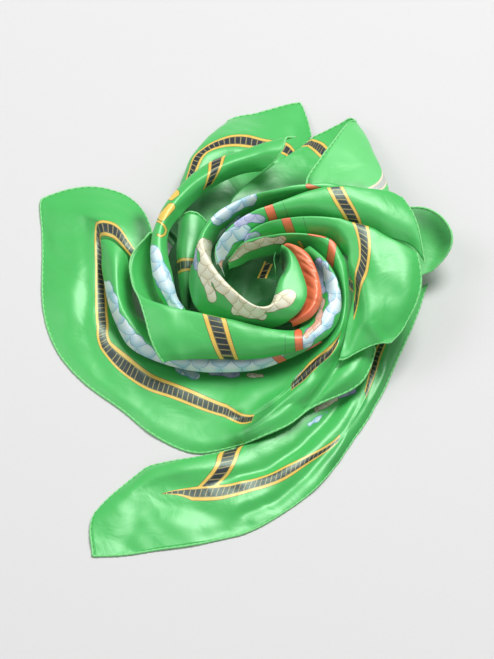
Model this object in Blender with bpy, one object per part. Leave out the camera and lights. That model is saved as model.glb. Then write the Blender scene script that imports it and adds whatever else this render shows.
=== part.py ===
"""A square silk scarf of 90 cm, swirled into a loose rose and laid down with its corners spread out.

Millimetres in the tables, metres in the scene, +Z up, front towards -Y, underside at Z = 0.
Every stretch of cloth that shows is one wall. Its table has a row for each section across the
stretch and a named column for each line that runs along it. An entry is (across, down, height):
across and down are measured on a sloping sight plane from its upper left corner, and height is
the distance over the floor. Smooth curves join the entries both ways.
"""

import math

import bpy
import numpy as np

MM = 0.001
# The sight plane leans so that it is square to a line of sight 55 degrees over the floor.
SIGHT_ANGLE = math.radians(55.0)
CENTRE_ACROSS = 247.0
CENTRE_DOWN = 330.0
WALL = 1.4
ROUGHNESS = 0.45
FINE_ALONG = 2
FINE_ACROSS = 2

GREEN = (0.075, 0.55, 0.15)
DEEP_GREEN = (0.03, 0.32, 0.08)
PALE_GREEN = (0.16, 0.62, 0.24)
ORANGE = (0.85, 0.13, 0.04)
PALE_BLUE = (0.50, 0.75, 0.85)

# Left corner leaf and front apron, which climbs on the right and turns round the heart.
APRON_COLUMNS = ("hem", "lobe", "trough", "ridge", "stripe_out", "stripe_in", "under", "foot")
APRON = (
    ((158, 254, 18), (155, 255, 20), (151, 256, 22), (147, 257, 23),
     (142, 258, 24), (138, 266, 20), (138, 280, 10), (142, 290, 8)),
    ((147, 219, 20), (143, 225, 23), (139, 231, 26), (135, 238, 28),
     (131, 244, 29), (126, 251, 28), (127, 266, 12), (132, 284, 8)),
    ((128, 196, 12), (126, 204, 17), (124, 211, 22), (121, 218, 26),
     (118, 225, 29), (116, 240, 28), (118, 256, 13), (126, 282, 8)),
    ((98, 187, 6), (99, 196, 13), (101, 205, 19), (102, 213, 24),
     (104, 220, 28), (107, 236, 26), (111, 253, 12), (122, 280, 8)),
    ((70, 190, 3), (76, 199, 9), (83, 207, 15), (90, 215, 21),
     (98, 221, 26), (103, 236, 23), (108, 254, 10), (119, 282, 7)),
    ((43, 200, 1), (57, 208, 7), (70, 214, 12), (83, 219, 17),
     (95, 224, 22), (101, 238, 19), (107, 258, 9), (117, 286, 7)),
    ((42, 225, 1), (55, 229, 6), (69, 233, 10), (82, 237, 14),
     (94, 242, 17), (102, 250, 12), (109, 268, 7), (118, 294, 6)),
    ((43, 262, 1), (56, 264, 6), (69, 266, 9), (82, 268, 12),
     (95, 270, 13), (105, 275, 8), (112, 288, 6), (122, 308, 5)),
    ((43, 302, 1), (56, 301, 5), (69, 300, 8), (82, 298, 10),
     (95, 297, 11), (107, 298, 7), (115, 309, 6), (128, 326, 5)),
    ((50, 335, 1), (62, 332, 5), (74, 329, 7), (85, 327, 9),
     (96, 324, 10), (109, 322, 7), (120, 331, 6), (136, 344, 5)),
    ((65, 362, 1), (74, 356, 4), (83, 350, 6), (92, 345, 8),
     (101, 342, 9), (112, 338, 8), (127, 344, 7), (146, 353, 6)),
    ((90, 387, 1), (97, 381, 4), (104, 375, 6), (111, 369, 7),
     (118, 367, 7), (129, 352, 8), (145, 356, 7), (163, 360, 7)),
    ((120, 407, 1), (126, 402, 4), (132, 396, 5), (137, 391, 6),
     (142, 387, 7), (149, 372, 9), (163, 364, 8), (180, 362, 8)),
    ((150, 432, 1), (155, 423, 4), (159, 414, 5), (163, 405, 6),
     (166, 397, 8), (171, 382, 10), (183, 369, 9), (195, 361, 9)),
    ((190, 452, 1), (192, 441, 5), (194, 430, 6), (196, 418, 7),
     (198, 409, 9), (201, 394, 12), (208, 376, 11), (212, 362, 10)),
    ((221, 449, 2), (221, 443, 6), (222, 436, 8), (223, 427, 9),
     (224, 417, 11), (227, 404, 15), (232, 384, 15), (236, 364, 12)),
    ((245, 442, 12), (245, 437, 16), (245, 433, 19), (246, 429, 20),
     (247, 420, 16), (251, 408, 20), (254, 386, 19), (256, 364, 15)),
    ((268, 433, 20), (267, 426, 23), (267, 420, 25), (267, 414, 27),
     (268, 408, 21), (273, 396, 25), (274, 378, 23), (272, 362, 18)),
    ((290, 423, 22), (289, 413, 25), (287, 405, 27), (284, 400, 31),
     (284, 395, 25), (290, 382, 31), (290, 368, 28), (284, 356, 21)),
    ((308, 409, 22), (308, 405, 24), (307, 400, 26), (301, 383, 37),
     (300, 378, 31), (306, 367, 37), (304, 358, 33), (297, 348, 25)),
    ((328, 399, 22), (325, 392, 28), (318, 385, 29), (314, 369, 42),
     (313, 365, 37), (320, 353, 43), (316, 346, 38), (308, 338, 29)),
    ((350, 390, 22), (343, 380, 32), (328, 371, 32), (325, 360, 44),
     (324, 356, 41), (331, 341, 48), (327, 335, 42), (318, 328, 32)),
    ((366, 375, 24), (356, 366, 34), (336, 359, 33), (334, 352, 46),
     (334, 347, 45), (340, 328, 52), (335, 323, 45), (326, 316, 35)),
    ((375, 347, 26), (362, 346, 32), (350, 340, 31), (345, 332, 42),
     (344, 324, 49), (343, 314, 54), (336, 309, 44), (328, 303, 36)),
    ((372, 322, 24), (364, 322, 27), (356, 317, 31), (350, 308, 42),
     (348, 301, 53), (344, 297, 57), (336, 294, 46), (328, 290, 38)),
    ((372, 300, 26), (364, 299, 30), (357, 295, 37), (350, 288, 50),
     (347, 282, 59), (341, 277, 62), (333, 275, 52), (325, 273, 44)),
    ((370, 278, 30), (362, 278, 35), (355, 275, 44), (348, 269, 56),
     (344, 263, 65), (336, 259, 68), (328, 261, 59), (321, 264, 50)),
    ((341, 260, 44), (340, 255, 53), (339, 250, 62), (338, 247, 69),
     (335, 245, 72), (327, 245, 72), (321, 250, 62), (317, 256, 52)),
    ((331, 250, 47), (330, 245, 56), (329, 240, 65), (327, 237, 72),
     (324, 238, 75), (315, 240, 72), (310, 244, 62), (307, 250, 50)),
    ((304, 248, 46), (304, 243, 55), (303, 237, 65), (303, 234, 73),
     (302, 234, 77), (298, 239, 70), (297, 245, 59), (297, 251, 49)),
    ((276, 249, 47), (276, 244, 56), (275, 238, 66), (274, 235, 74),
     (274, 235, 78), (273, 241, 71), (272, 248, 60), (272, 255, 50)),
    ((250, 256, 43), (250, 251, 52), (250, 245, 62), (249, 241, 70),
     (249, 241, 74), (249, 246, 68), (250, 253, 57), (251, 259, 48)),
)

# Lower roll, from the left leaf round the front.
LOWER_ROLL_COLUMNS = ("outer", "rise", "crest", "fall", "inner")
LOWER_ROLL = (
    ((101, 240, 28), (107, 240, 31), (114, 243, 33), (121, 249, 33), (127, 256, 29)),
    ((102, 252, 24), (107, 253, 32), (114, 255, 36), (122, 260, 33), (129, 268, 24)),
    ((102, 266, 21), (108, 268, 31), (115, 270, 37), (123, 275, 32), (131, 283, 20)),
    ((104, 285, 19), (109, 287, 30), (116, 290, 36), (124, 294, 31), (133, 300, 20)),
    ((108, 305, 18), (113, 306, 28), (120, 307, 34), (128, 309, 30), (137, 314, 20)),
    ((116, 325, 17), (121, 322, 27), (127, 320, 33), (136, 320, 30), (146, 322, 21)),
    ((127, 344, 17), (131, 339, 26), (137, 334, 31), (146, 331, 29), (156, 331, 22)),
    ((146, 357, 17), (149, 351, 25), (154, 346, 30), (161, 342, 29), (170, 341, 23)),
    ((170, 366, 18), (172, 361, 25), (176, 356, 29), (181, 352, 29), (188, 350, 24)),
    ((200, 372, 20), (201, 367, 26), (203, 362, 29), (206, 358, 29), (210, 355, 24)),
    ((230, 372, 23), (230, 367, 28), (230, 362, 31), (231, 358, 30), (232, 355, 26)),
    ((258, 370, 27), (256, 365, 33), (254, 360, 35), (252, 355, 33), (250, 351, 27)),
    ((285, 361, 34), (282, 356, 39), (278, 351, 41), (274, 347, 36), (270, 344, 29)),
    ((306, 351, 42), (302, 347, 45), (297, 343, 45), (292, 339, 41), (287, 336, 33)),
    ((322, 342, 48), (318, 338, 50), (313, 334, 49), (308, 330, 44), (303, 327, 36)),
)

# Front turn of the rose, a trumpet at its left end, which climbs round the right of the heart.
FRONT_TURN_COLUMNS = ("back", "valley", "drop", "fold", "face", "belly", "low", "under")
FRONT_TURN = (
    ((150, 233, 50), (131, 258, 44), (133, 285, 47), (140, 299, 54),
     (146, 318, 53), (151, 337, 48), (158, 353, 41), (164, 362, 35)),
    ((160, 252, 22), (156, 286, 19), (159, 310, 36), (159, 303, 58),
     (162, 320, 57), (166, 337, 52), (170, 352, 44), (174, 360, 37)),
    ((174, 304, 28), (172, 312, 35), (171, 312, 47), (171, 306, 60),
     (173, 322, 58), (176, 338, 53), (179, 352, 45), (182, 360, 38)),
    ((184, 320, 34), (184, 316, 42), (184, 313, 51), (184, 309, 60),
     (185, 323, 58), (187, 338, 53), (189, 351, 45), (190, 359, 38)),
    ((215, 329, 34), (215, 325, 42), (215, 321, 52), (215, 317, 61),
     (217, 329, 59), (219, 342, 53), (221, 353, 45), (222, 359, 38)),
    ((250, 333, 43), (250, 330, 50), (250, 327, 56), (250, 325, 61),
     (251, 335, 60), (252, 345, 55), (253, 354, 48), (253, 359, 41)),
    ((277, 337, 45), (277, 334, 51), (276, 331, 57), (276, 329, 62),
     (279, 337, 62), (281, 345, 58), (283, 351, 52), (284, 355, 46)),
    ((293, 337, 44), (294, 335, 48), (295, 332, 53), (297, 330, 57),
     (301, 334, 61), (305, 338, 61), (308, 343, 57), (309, 347, 51)),
    ((302, 323, 38), (304, 321, 42), (307, 320, 46), (310, 319, 50),
     (315, 321, 58), (321, 325, 63), (326, 330, 60), (329, 334, 53)),
    ((309, 304, 42), (313, 303, 46), (316, 303, 50), (320, 302, 54),
     (326, 304, 61), (332, 308, 64), (337, 312, 61), (339, 316, 55)),
    ((312, 290, 44), (316, 290, 48), (319, 290, 51), (323, 289, 55),
     (329, 290, 62), (335, 291, 66), (340, 294, 64), (341, 298, 59)),
    ((311, 277, 47), (314, 276, 50), (317, 275, 53), (321, 274, 57),
     (326, 273, 64), (332, 274, 68), (336, 277, 67), (338, 282, 61)),
    ((303, 266, 50), (306, 264, 54), (309, 262, 57), (313, 261, 61),
     (317, 260, 67), (321, 258, 70), (325, 258, 69), (329, 262, 63)),
    ((296, 257, 52), (298, 254, 55), (300, 252, 58), (303, 250, 61),
     (306, 248, 64), (309, 246, 66), (311, 247, 64), (312, 250, 59)),
)

# Innermost turn, a narrow crescent on the right of the heart.
INNER_TURN_COLUMNS = ("inner", "crest", "outer", "under")
INNER_TURN = (
    ((281, 253, 61), (282, 249, 67), (283, 246, 68), (283, 248, 62)),
    ((287, 250, 66), (288, 246, 72), (288, 243, 73), (288, 246, 67)),
    ((292, 257, 67), (299, 252, 75), (305, 250, 74), (307, 254, 68)),
    ((297, 268, 66), (308, 266, 74), (315, 265, 73), (317, 270, 68)),
    ((302, 280, 65), (313, 278, 73), (319, 278, 71), (321, 283, 66)),
    ((303, 293, 64), (315, 292, 72), (321, 291, 69), (322, 297, 64)),
    ((301, 304, 63), (312, 305, 70), (317, 305, 67), (317, 310, 62)),
    ((295, 313, 62), (303, 315, 68), (308, 317, 65), (308, 320, 61)),
    ((284, 318, 56), (289, 321, 61), (292, 324, 59), (292, 327, 54)),
)

# Heart of the rose: mouth of the cone, lip of the hollow, left side, crest at the back.
HEART_COLUMNS = ("inner_foot", "inner_face", "crest", "face", "belly", "outer_foot")
HEART = (
    ((280, 262, 54), (280, 254, 70), (281, 247, 81),
     (282, 245, 79), (283, 246, 75), (283, 250, 69)),
    ((283, 267, 52), (284, 258, 70), (287, 250, 84),
     (291, 251, 83), (294, 254, 80), (294, 257, 75)),
    ((284, 277, 50), (285, 267, 70), (289, 259, 84),
     (295, 261, 84), (300, 266, 81), (300, 270, 75)),
    ((282, 286, 50), (283, 277, 70), (287, 269, 84),
     (295, 272, 84), (304, 278, 80), (304, 282, 74)),
    ((276, 297, 48), (278, 287, 68), (281, 279, 84),
     (291, 285, 83), (306, 291, 79), (306, 295, 73)),
    ((271, 308, 46), (274, 298, 68), (278, 290, 83),
     (289, 297, 82), (302, 304, 78), (303, 307, 73)),
    ((265, 313, 46), (270, 306, 67), (276, 300, 82),
     (283, 307, 78), (291, 315, 72), (293, 318, 68)),
    ((257, 314, 46), (262, 309, 67), (267, 307, 82),
     (270, 315, 72), (272, 323, 60), (273, 329, 47)),
    ((248, 312, 46), (252, 307, 67), (255, 306, 82),
     (255, 314, 71), (254, 322, 59), (253, 329, 45)),
    ((238, 305, 47), (240, 299, 68), (241, 297, 82),
     (239, 306, 72), (236, 316, 59), (234, 325, 43)),
    ((227, 292, 48), (226, 285, 69), (225, 283, 83),
     (222, 294, 74), (217, 306, 61), (212, 319, 44)),
    ((218, 276, 50), (215, 268, 71), (212, 266, 85),
     (208, 279, 76), (202, 293, 62), (196, 308, 44)),
    ((212, 260, 52), (208, 252, 75), (204, 249, 85),
     (199, 257, 81), (195, 277, 65), (190, 291, 48)),
    ((213, 247, 53), (209, 240, 76), (204, 236, 86),
     (197, 240, 83), (193, 260, 67), (189, 272, 50)),
    ((221, 236, 58), (217, 228, 77), (213, 221, 87),
     (206, 223, 84), (202, 239, 69), (198, 250, 50)),
    ((237, 222, 62), (234, 214, 80), (229, 208, 88),
     (223, 208, 84), (220, 217, 68), (215, 226, 50)),
    ((258, 209, 68), (256, 200, 83), (252, 195, 89),
     (250, 196, 84), (246, 203, 68), (242, 212, 48)),
    ((280, 202, 72), (279, 194, 85), (276, 189, 89),
     (275, 190, 84), (273, 197, 68), (271, 207, 46)),
    ((300, 195, 76), (300, 189, 86), (300, 185, 88),
     (300, 185, 85), (300, 192, 71), (300, 204, 46)),
    ((328, 191, 74), (328, 188, 83), (327, 184, 85),
     (327, 184, 82), (328, 191, 68), (329, 203, 46)),
    ((350, 195, 66), (350, 193, 74), (350, 189, 76),
     (350, 188, 73), (351, 195, 62), (352, 203, 46)),
)

# Far rim of the cone's mouth, where the cloth of the centre ends.
MOUTH_COLUMNS = ("foot", "face", "crest")
MOUTH = (
    ((276, 283, 50), (275, 275, 66), (275, 268, 76)),
    ((275, 276, 50), (274, 266, 67), (273, 259, 78)),
    ((276, 268, 50), (275, 259, 68), (275, 252, 79)),
)

# Upper roll of the right leaf: it starts in the hollow and ends in a hem on the right.
UPPER_ROLL_COLUMNS = ("back", "crest", "face", "belly", "low")
UPPER_ROLL = (
    ((214, 248, 74), (215, 247, 79), (218, 251, 73), (220, 256, 65), (222, 262, 56)),
    ((225, 232, 78), (226, 231, 83), (230, 237, 77), (234, 244, 68), (238, 252, 57)),
    ((247, 215, 81), (248, 214, 86), (253, 220, 81), (258, 227, 73), (262, 235, 62)),
    ((276, 203, 83), (277, 202, 88), (281, 209, 85), (284, 216, 77), (287, 224, 65)),
    ((308, 193, 84), (308, 192, 89), (311, 202, 86), (314, 211, 79), (317, 221, 67)),
    ((331, 189, 84), (331, 188, 89), (337, 201, 87), (344, 214, 80), (349, 225, 69)),
    ((350, 189, 83), (350, 187, 88), (359, 202, 87), (366, 216, 80), (371, 231, 68)),
    ((371, 191, 81), (372, 189, 86), (381, 206, 85), (388, 223, 78), (392, 239, 66)),
    ((391, 193, 76), (391, 191, 81), (400, 208, 80), (407, 227, 74), (411, 245, 63)),
    ((403, 200, 73), (402, 197, 77), (412, 213, 75), (419, 233, 70), (424, 262, 60)),
)

# Lower layer of the right leaf, with its flank on the left and its hem on the right and below.
RIGHT_LEAF_COLUMNS = ("back", "crest", "face", "belly", "flank", "skirt", "hem")
RIGHT_LEAF = (
    ((249, 232, 74), (250, 232, 79), (252, 237, 73), (252, 240, 67),
     (252, 244, 60), (252, 248, 53), (253, 251, 48)),
    ((269, 222, 77), (269, 221, 82), (271, 226, 78), (273, 231, 72),
     (274, 236, 65), (275, 240, 58), (275, 244, 52)),
    ((300, 219, 78), (300, 217, 83), (302, 223, 79), (304, 229, 73),
     (306, 235, 65), (308, 240, 57), (309, 244, 50)),
    ((332, 220, 78), (332, 218, 83), (332, 226, 79), (331, 233, 71),
     (331, 239, 62), (332, 244, 54), (333, 248, 48)),
    ((341, 221, 78), (341, 219, 83), (341, 229, 80), (340, 237, 74),
     (341, 244, 67), (342, 249, 60), (343, 253, 54)),
    ((351, 225, 77), (351, 223, 82), (350, 233, 80), (349, 241, 77),
     (349, 247, 74), (350, 252, 70), (351, 257, 66)),
    ((369, 230, 76), (369, 228, 81), (366, 244, 79), (360, 258, 74),
     (355, 272, 67), (353, 283, 60), (353, 293, 53)),
    ((385, 238, 73), (385, 236, 78), (383, 258, 76), (374, 280, 71),
     (363, 300, 61), (355, 322, 50), (347, 347, 42)),
    ((399, 245, 70), (399, 243, 75), (401, 268, 72), (392, 292, 66),
     (376, 312, 62), (364, 330, 52), (358, 349, 42)),
    ((409, 250, 67), (409, 248, 72), (413, 274, 67), (406, 300, 61),
     (392, 322, 54), (383, 334, 48), (375, 343, 43)),
    ((417, 256, 63), (417, 253, 68), (421, 278, 61), (416, 301, 55),
     (408, 318, 50), (400, 332, 46), (389, 343, 43)),
)

# Ribbon on the left, a half tube with a hem at its upper end.
RIBBON_COLUMNS = ("side", "outer", "face", "belly", "inner", "under")
RIBBON = (
    ((295, 137, 66), (286, 138, 70), (283, 147, 72),
     (277, 157, 68), (267, 167, 60), (258, 171, 52)),
    ((273, 144, 62), (264, 143, 68), (262, 152, 71),
     (257, 161, 66), (250, 169, 58), (245, 173, 50)),
    ((240, 155, 60), (236, 151, 66), (236, 159, 70),
     (234, 166, 66), (231, 174, 57), (229, 178, 50)),
    ((215, 166, 58), (210, 161, 64), (212, 169, 69),
     (212, 177, 65), (210, 184, 56), (209, 188, 50)),
    ((191, 182, 56), (187, 177, 62), (190, 183, 67),
     (192, 190, 64), (193, 198, 56), (194, 202, 50)),
    ((173, 205, 53), (166, 200, 59), (169, 204, 65),
     (173, 208, 64), (177, 212, 57), (180, 216, 51)),
    ((160, 231, 50), (154, 226, 56), (157, 227, 62),
     (162, 228, 62), (166, 229, 57), (168, 233, 51)),
    ((158, 256, 48), (151, 251, 53), (154, 250, 60),
     (160, 249, 61), (165, 249, 57), (167, 253, 51)),
    ((161, 278, 46), (153, 273, 50), (157, 271, 57),
     (163, 270, 59), (169, 268, 55), (171, 272, 49)),
    ((166, 295, 43), (158, 293, 46), (162, 290, 52),
     (168, 289, 54), (174, 288, 51), (176, 292, 46)),
    ((171, 304, 40), (164, 303, 42), (169, 301, 46),
     (174, 300, 48), (178, 299, 45), (180, 302, 41)),
)

# Small leaf that stands between the ribbon and the heart.
SMALL_LEAF_COLUMNS = ("left", "left_face", "middle", "right_face", "right")
SMALL_LEAF = (
    ((178, 223, 38), (181, 216, 43), (189, 212, 47), (198, 214, 45), (206, 222, 39)),
    ((177, 240, 36), (181, 237, 41), (188, 237, 43), (196, 239, 41), (201, 245, 35)),
    ((177, 262, 33), (181, 260, 38), (187, 260, 40), (193, 261, 38), (197, 264, 33)),
    ((179, 283, 27), (182, 282, 31), (186, 281, 33), (190, 281, 32), (193, 283, 28)),
    ((182, 303, 20), (184, 302, 23), (186, 301, 24), (188, 302, 23), (190, 303, 20)),
)

# Corner leaf at the back left.
BACK_LEAF_COLUMNS = ("hem", "border", "slope", "stripe_out", "stripe_in", "inner", "foot", "deep")
BACK_LEAF = (
    ((196, 196, 2), (186, 190, 12), (180, 184, 22), (183, 186, 30),
     (189, 190, 32), (198, 196, 28), (206, 204, 20), (216, 214, 14)),
    ((204, 176, 2), (193, 168, 14), (187, 166, 25), (189, 168, 32),
     (196, 174, 35), (206, 182, 31), (216, 192, 22), (226, 212, 14)),
    ((213, 152, 2), (202, 147, 14), (195, 151, 26), (194, 155, 32),
     (203, 157, 36), (213, 164, 33), (224, 176, 24), (236, 212, 14)),
    ((222, 129, 3), (212, 131, 15), (206, 137, 26), (206, 144, 32),
     (211, 150, 36), (220, 158, 34), (230, 170, 26), (243, 209, 14)),
    ((231, 118, 3), (227, 123, 14), (223, 130, 23), (222, 136, 30),
     (224, 146, 36), (229, 156, 34), (238, 168, 27), (250, 206, 15)),
    ((250, 113, 3), (248, 120, 11), (246, 127, 20), (244, 133, 27),
     (243, 146, 35), (246, 156, 34), (252, 166, 28), (262, 201, 16)),
    ((275, 107, 3), (272, 116, 9), (270, 126, 16), (265, 138, 24),
     (262, 150, 31), (264, 160, 32), (268, 168, 28), (276, 197, 17)),
    ((298, 103, 3), (294, 115, 8), (290, 126, 14), (286, 141, 20),
     (280, 153, 27), (279, 162, 29), (280, 169, 26), (287, 194, 18)),
    ((306, 117, 4), (303, 127, 8), (299, 137, 13), (294, 148, 18),
     (288, 157, 24), (286, 164, 26), (285, 171, 24), (292, 192, 18)),
    ((311, 136, 5), (307, 142, 9), (303, 149, 13), (298, 156, 17),
     (293, 162, 21), (290, 168, 22), (288, 174, 21), (295, 190, 18)),
)

# Cornet at the back right: its near layer turns the pale side of the cloth out.
CORNET_COLUMNS = ("hem", "upper", "middle", "lower", "foot", "under")
CORNET = (
    ((304, 144, 16), (287, 156, 31), (267, 169, 36), (249, 182, 40), (232, 198, 43), (226, 211, 41)),
    ((314, 137, 11), (304, 151, 24), (290, 167, 30), (276, 181, 34), (263, 194, 38), (258, 207, 34)),
    ((330, 129, 7), (322, 145, 15), (312, 162, 22), (303, 177, 28), (294, 190, 33), (296, 202, 30)),
    ((343, 122, 9), (338, 139, 14), (332, 158, 20), (326, 175, 26), (321, 190, 31), (322, 202, 30)),
    ((352, 117, 14), (357, 132, 18), (361, 150, 22), (365, 168, 27), (368, 186, 32), (369, 199, 33)),
    ((357, 121, 19), (368, 135, 24), (376, 151, 29), (384, 168, 34), (390, 186, 38), (391, 198, 38)),
    ((353, 120, 24), (357, 136, 33), (359, 153, 40), (360, 170, 45), (362, 185, 49), (364, 198, 49)),
    ((350, 121, 26), (342, 131, 34), (331, 146, 41), (319, 162, 46), (308, 178, 50), (308, 193, 51)),
)

# Ear on the right, the pale side up.
EAR_COLUMNS = ("hem", "curl", "hollow", "foot", "deep")
EAR = (
    ((408, 208, 34), (404, 215, 32), (398, 223, 30), (390, 232, 28), (347, 242, 14)),
    ((424, 208, 41), (417, 218, 35), (408, 229, 31), (398, 239, 28), (353, 248, 14)),
    ((441, 216, 46), (430, 226, 36), (418, 237, 31), (404, 245, 27), (357, 253, 14)),
    ((451, 231, 45), (438, 238, 34), (423, 246, 29), (408, 252, 26), (360, 259, 14)),
    ((451, 246, 39), (438, 250, 30), (424, 255, 27), (410, 260, 24), (362, 266, 14)),
    ((444, 258, 31), (434, 260, 26), (422, 265, 24), (410, 269, 22), (363, 273, 14)),
    ((432, 271, 24), (427, 272, 23), (420, 275, 22), (412, 279, 20), (363, 281, 14)),
)

# Tail: the front corner, drawn out and wrapped round the right side of the heap.
TAIL_COLUMNS = ("hem", "border", "stripe_out", "stripe_in", "dip", "rise", "edge", "under")
TAIL = (
    ((96, 554, 1), (94, 547, 1), (93, 540, 2), (92, 533, 2),
     (92, 526, 3), (93, 519, 3), (96, 512, 2), (100, 508, 1)),
    ((127, 553, 1), (125, 541, 4), (123, 530, 5), (121, 520, 5),
     (119, 511, 6), (118, 503, 6), (117, 497, 4), (117, 492, 1)),
    ((155, 548, 1), (153, 527, 5), (150, 507, 8), (148, 497, 8),
     (146, 488, 9), (145, 480, 11), (145, 473, 9), (147, 468, 3)),
    ((188, 544, 1), (185, 520, 6), (182, 499, 9), (184, 487, 10),
     (182, 479, 13), (181, 471, 16), (180, 464, 13), (182, 462, 6)),
    ((223, 537, 1), (219, 517, 6), (216, 500, 9), (221, 484, 10),
     (220, 475, 14), (219, 465, 16), (216, 457, 12), (218, 456, 6)),
    ((250, 530, 1), (250, 510, 6), (251, 491, 9), (256, 478, 9),
     (253, 468, 11), (248, 457, 13), (243, 449, 10), (244, 447, 5)),
    ((285, 510, 1), (284, 494, 6), (284, 480, 9), (286, 466, 9),
     (284, 455, 9), (275, 446, 12), (268, 438, 11), (266, 434, 6)),
    ((312, 490, 1), (312, 473, 7), (313, 459, 9), (316, 451, 9),
     (312, 438, 9), (302, 427, 11), (293, 419, 11), (289, 414, 6)),
    ((334, 466, 1), (336, 452, 7), (338, 441, 9), (340, 433, 9),
     (335, 421, 9), (325, 411, 11), (316, 404, 10), (311, 399, 6)),
    ((352, 440, 1), (352, 429, 7), (353, 419, 10), (354, 410, 9),
     (349, 399, 9), (340, 392, 10), (332, 386, 10), (327, 381, 6)),
    ((366, 420, 1), (366, 409, 8), (365, 399, 11), (364, 390, 10),
     (360, 380, 9), (352, 374, 9), (344, 368, 8), (339, 363, 5)),
    ((385, 386, 2), (383, 377, 9), (377, 368, 12), (370, 365, 10),
     (364, 360, 9), (357, 356, 8), (350, 352, 6), (345, 348, 4)),
    ((405, 342, 2), (397, 343, 9), (385, 346, 13), (377, 344, 12),
     (370, 341, 9), (362, 338, 7), (354, 335, 5), (349, 332, 3)),
    ((420, 307, 3), (411, 311, 10), (401, 315, 13), (392, 317, 12),
     (384, 317, 9), (376, 316, 7), (368, 314, 5), (362, 312, 3)),
    ((428, 284, 4), (420, 289, 9), (411, 294, 12), (402, 297, 11),
     (394, 298, 9), (386, 298, 7), (378, 297, 5), (372, 296, 3)),
)

# Rounded heap of the hidden layers, ring by ring from its flat base to the bottom of the hollow.
# A ring is shifted sideways and backwards, and to_hollow draws its centre towards the hollow's.
HEAP_ACROSS = 267.0
HEAP_DOWN = 296.0
HEAP_HOLLOW_ACROSS = 252.5
HEAP_HOLLOW_DOWN = 296.0
HEAP_SIDES = 36
HEAP_COLUMNS = ("height", "half_across", "half_deep", "sideways", "backwards", "to_hollow")
HEAP_RINGS = (
    (0.0, 94.0, 101.0, -6.0, 14.0, 0.0),
    (3.0, 97.0, 104.0, -6.0, 14.0, 0.0),
    (6.0, 97.0, 104.0, -6.0, 14.0, 0.0),
    (7.0, 94.0, 100.0, -4.0, 13.0, 0.0),
    (9.0, 96.0, 101.0, -3.0, 13.0, 0.0),
    (12.0, 95.0, 94.0, 0.0, 11.0, 0.0),
    (13.0, 90.0, 84.0, 0.0, 8.0, 0.0),
    (15.0, 92.0, 84.0, 0.0, 8.0, 0.0),
    (18.0, 91.0, 90.0, 3.0, 8.0, 0.0),
    (20.0, 84.0, 86.0, 8.0, 8.0, 0.0),
    (22.0, 84.0, 90.0, 9.0, 8.0, 0.0),
    (26.0, 82.0, 89.0, 9.0, 8.0, 0.0),
    (27.0, 77.0, 84.0, 10.0, 8.0, 0.0),
    (30.0, 77.0, 81.0, 10.0, 8.0, 0.0),
    (33.0, 75.0, 76.0, 9.0, 8.0, 0.0),
    (34.0, 70.0, 73.0, 5.0, 8.0, 0.0),
    (37.0, 66.0, 70.0, 0.0, 8.0, 0.0),
    (40.0, 60.0, 66.0, 0.0, 8.0, 0.0),
    (42.0, 52.0, 58.0, 0.0, 5.0, 0.2),
    (41.0, 38.0, 40.0, 0.0, 0.0, 0.6),
    (37.0, 31.0, 34.0, 0.0, 0.0, 0.9),
    (32.0, 27.0, 31.0, 0.0, 0.0, 1.0),
    (26.0, 20.0, 23.0, 0.0, 0.0, 1.0),
    (20.0, 10.0, 12.0, 0.0, 0.0, 1.0),
)


def place(table):
    """Turns entries (across, down, height) in mm into points (x, y, z) in mm."""
    across, down, height = np.moveaxis(np.asarray(table, float), -1, 0)
    rise = CENTRE_DOWN - down
    deep = (rise - height * math.cos(SIGHT_ANGLE)) / math.sin(SIGHT_ANGLE)
    return np.stack([across - CENTRE_ACROSS, deep, height], -1)


def smooth(points, steps):
    """Runs a smooth curve through the first axis of points, with steps spans per entry."""
    ends = [2 * points[:1] - points[1:2], points, 2 * points[-1:] - points[-2:-1]]
    knots = np.concatenate(ends)
    at = np.arange((len(points) - 1) * steps + 1) / steps
    span = np.minimum(at.astype(int), len(points) - 2)
    t = (at - span).reshape(-1, *[1] * (points.ndim - 1))
    a, b, c, d = (knots[span + k] for k in range(4))
    bend = (2 * a - 5 * b + 4 * c - d) * t**2 + (3 * b - a - 3 * c + d) * t**3
    return b + 0.5 * ((c - a) * t + bend)


def surface(table, along, over):
    """Fills a table in both ways: a grid of points in mm."""
    rows = smooth(place(table), along)
    return smooth(rows.swapaxes(0, 1), over).swapaxes(0, 1)


def wall_faces(grid):
    """Triangles of a closed wall about a grid: both sides cut along the shorter diagonals."""
    rows, columns = grid.shape[:2]
    below = rows * columns
    index = np.arange(below).reshape(rows, columns)
    corners = [index[:-1, :-1], index[1:, :-1], index[1:, 1:], index[:-1, 1:]]
    quads = np.stack([corner.ravel() for corner in corners], -1)
    places = grid.reshape(-1, 3)[quads]
    first = np.linalg.norm(places[:, 0] - places[:, 2], axis=-1)
    second = np.linalg.norm(places[:, 1] - places[:, 3], axis=-1)
    quads = np.where((first > second)[:, None], np.roll(quads, -1, axis=1), quads)
    upper = np.concatenate([quads[:, [0, 1, 2]], quads[:, [0, 2, 3]]])
    lower = upper[:, ::-1] + below
    ring = np.concatenate([index[0, :-1], index[:-1, -1], index[-1, :0:-1], index[:0:-1, 0]])
    after = np.roll(ring, -1)
    outer = np.stack([ring, after, after + below], -1)
    inner = np.stack([ring, after + below, ring + below], -1)
    return np.concatenate([upper, lower, outer, inner])


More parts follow.
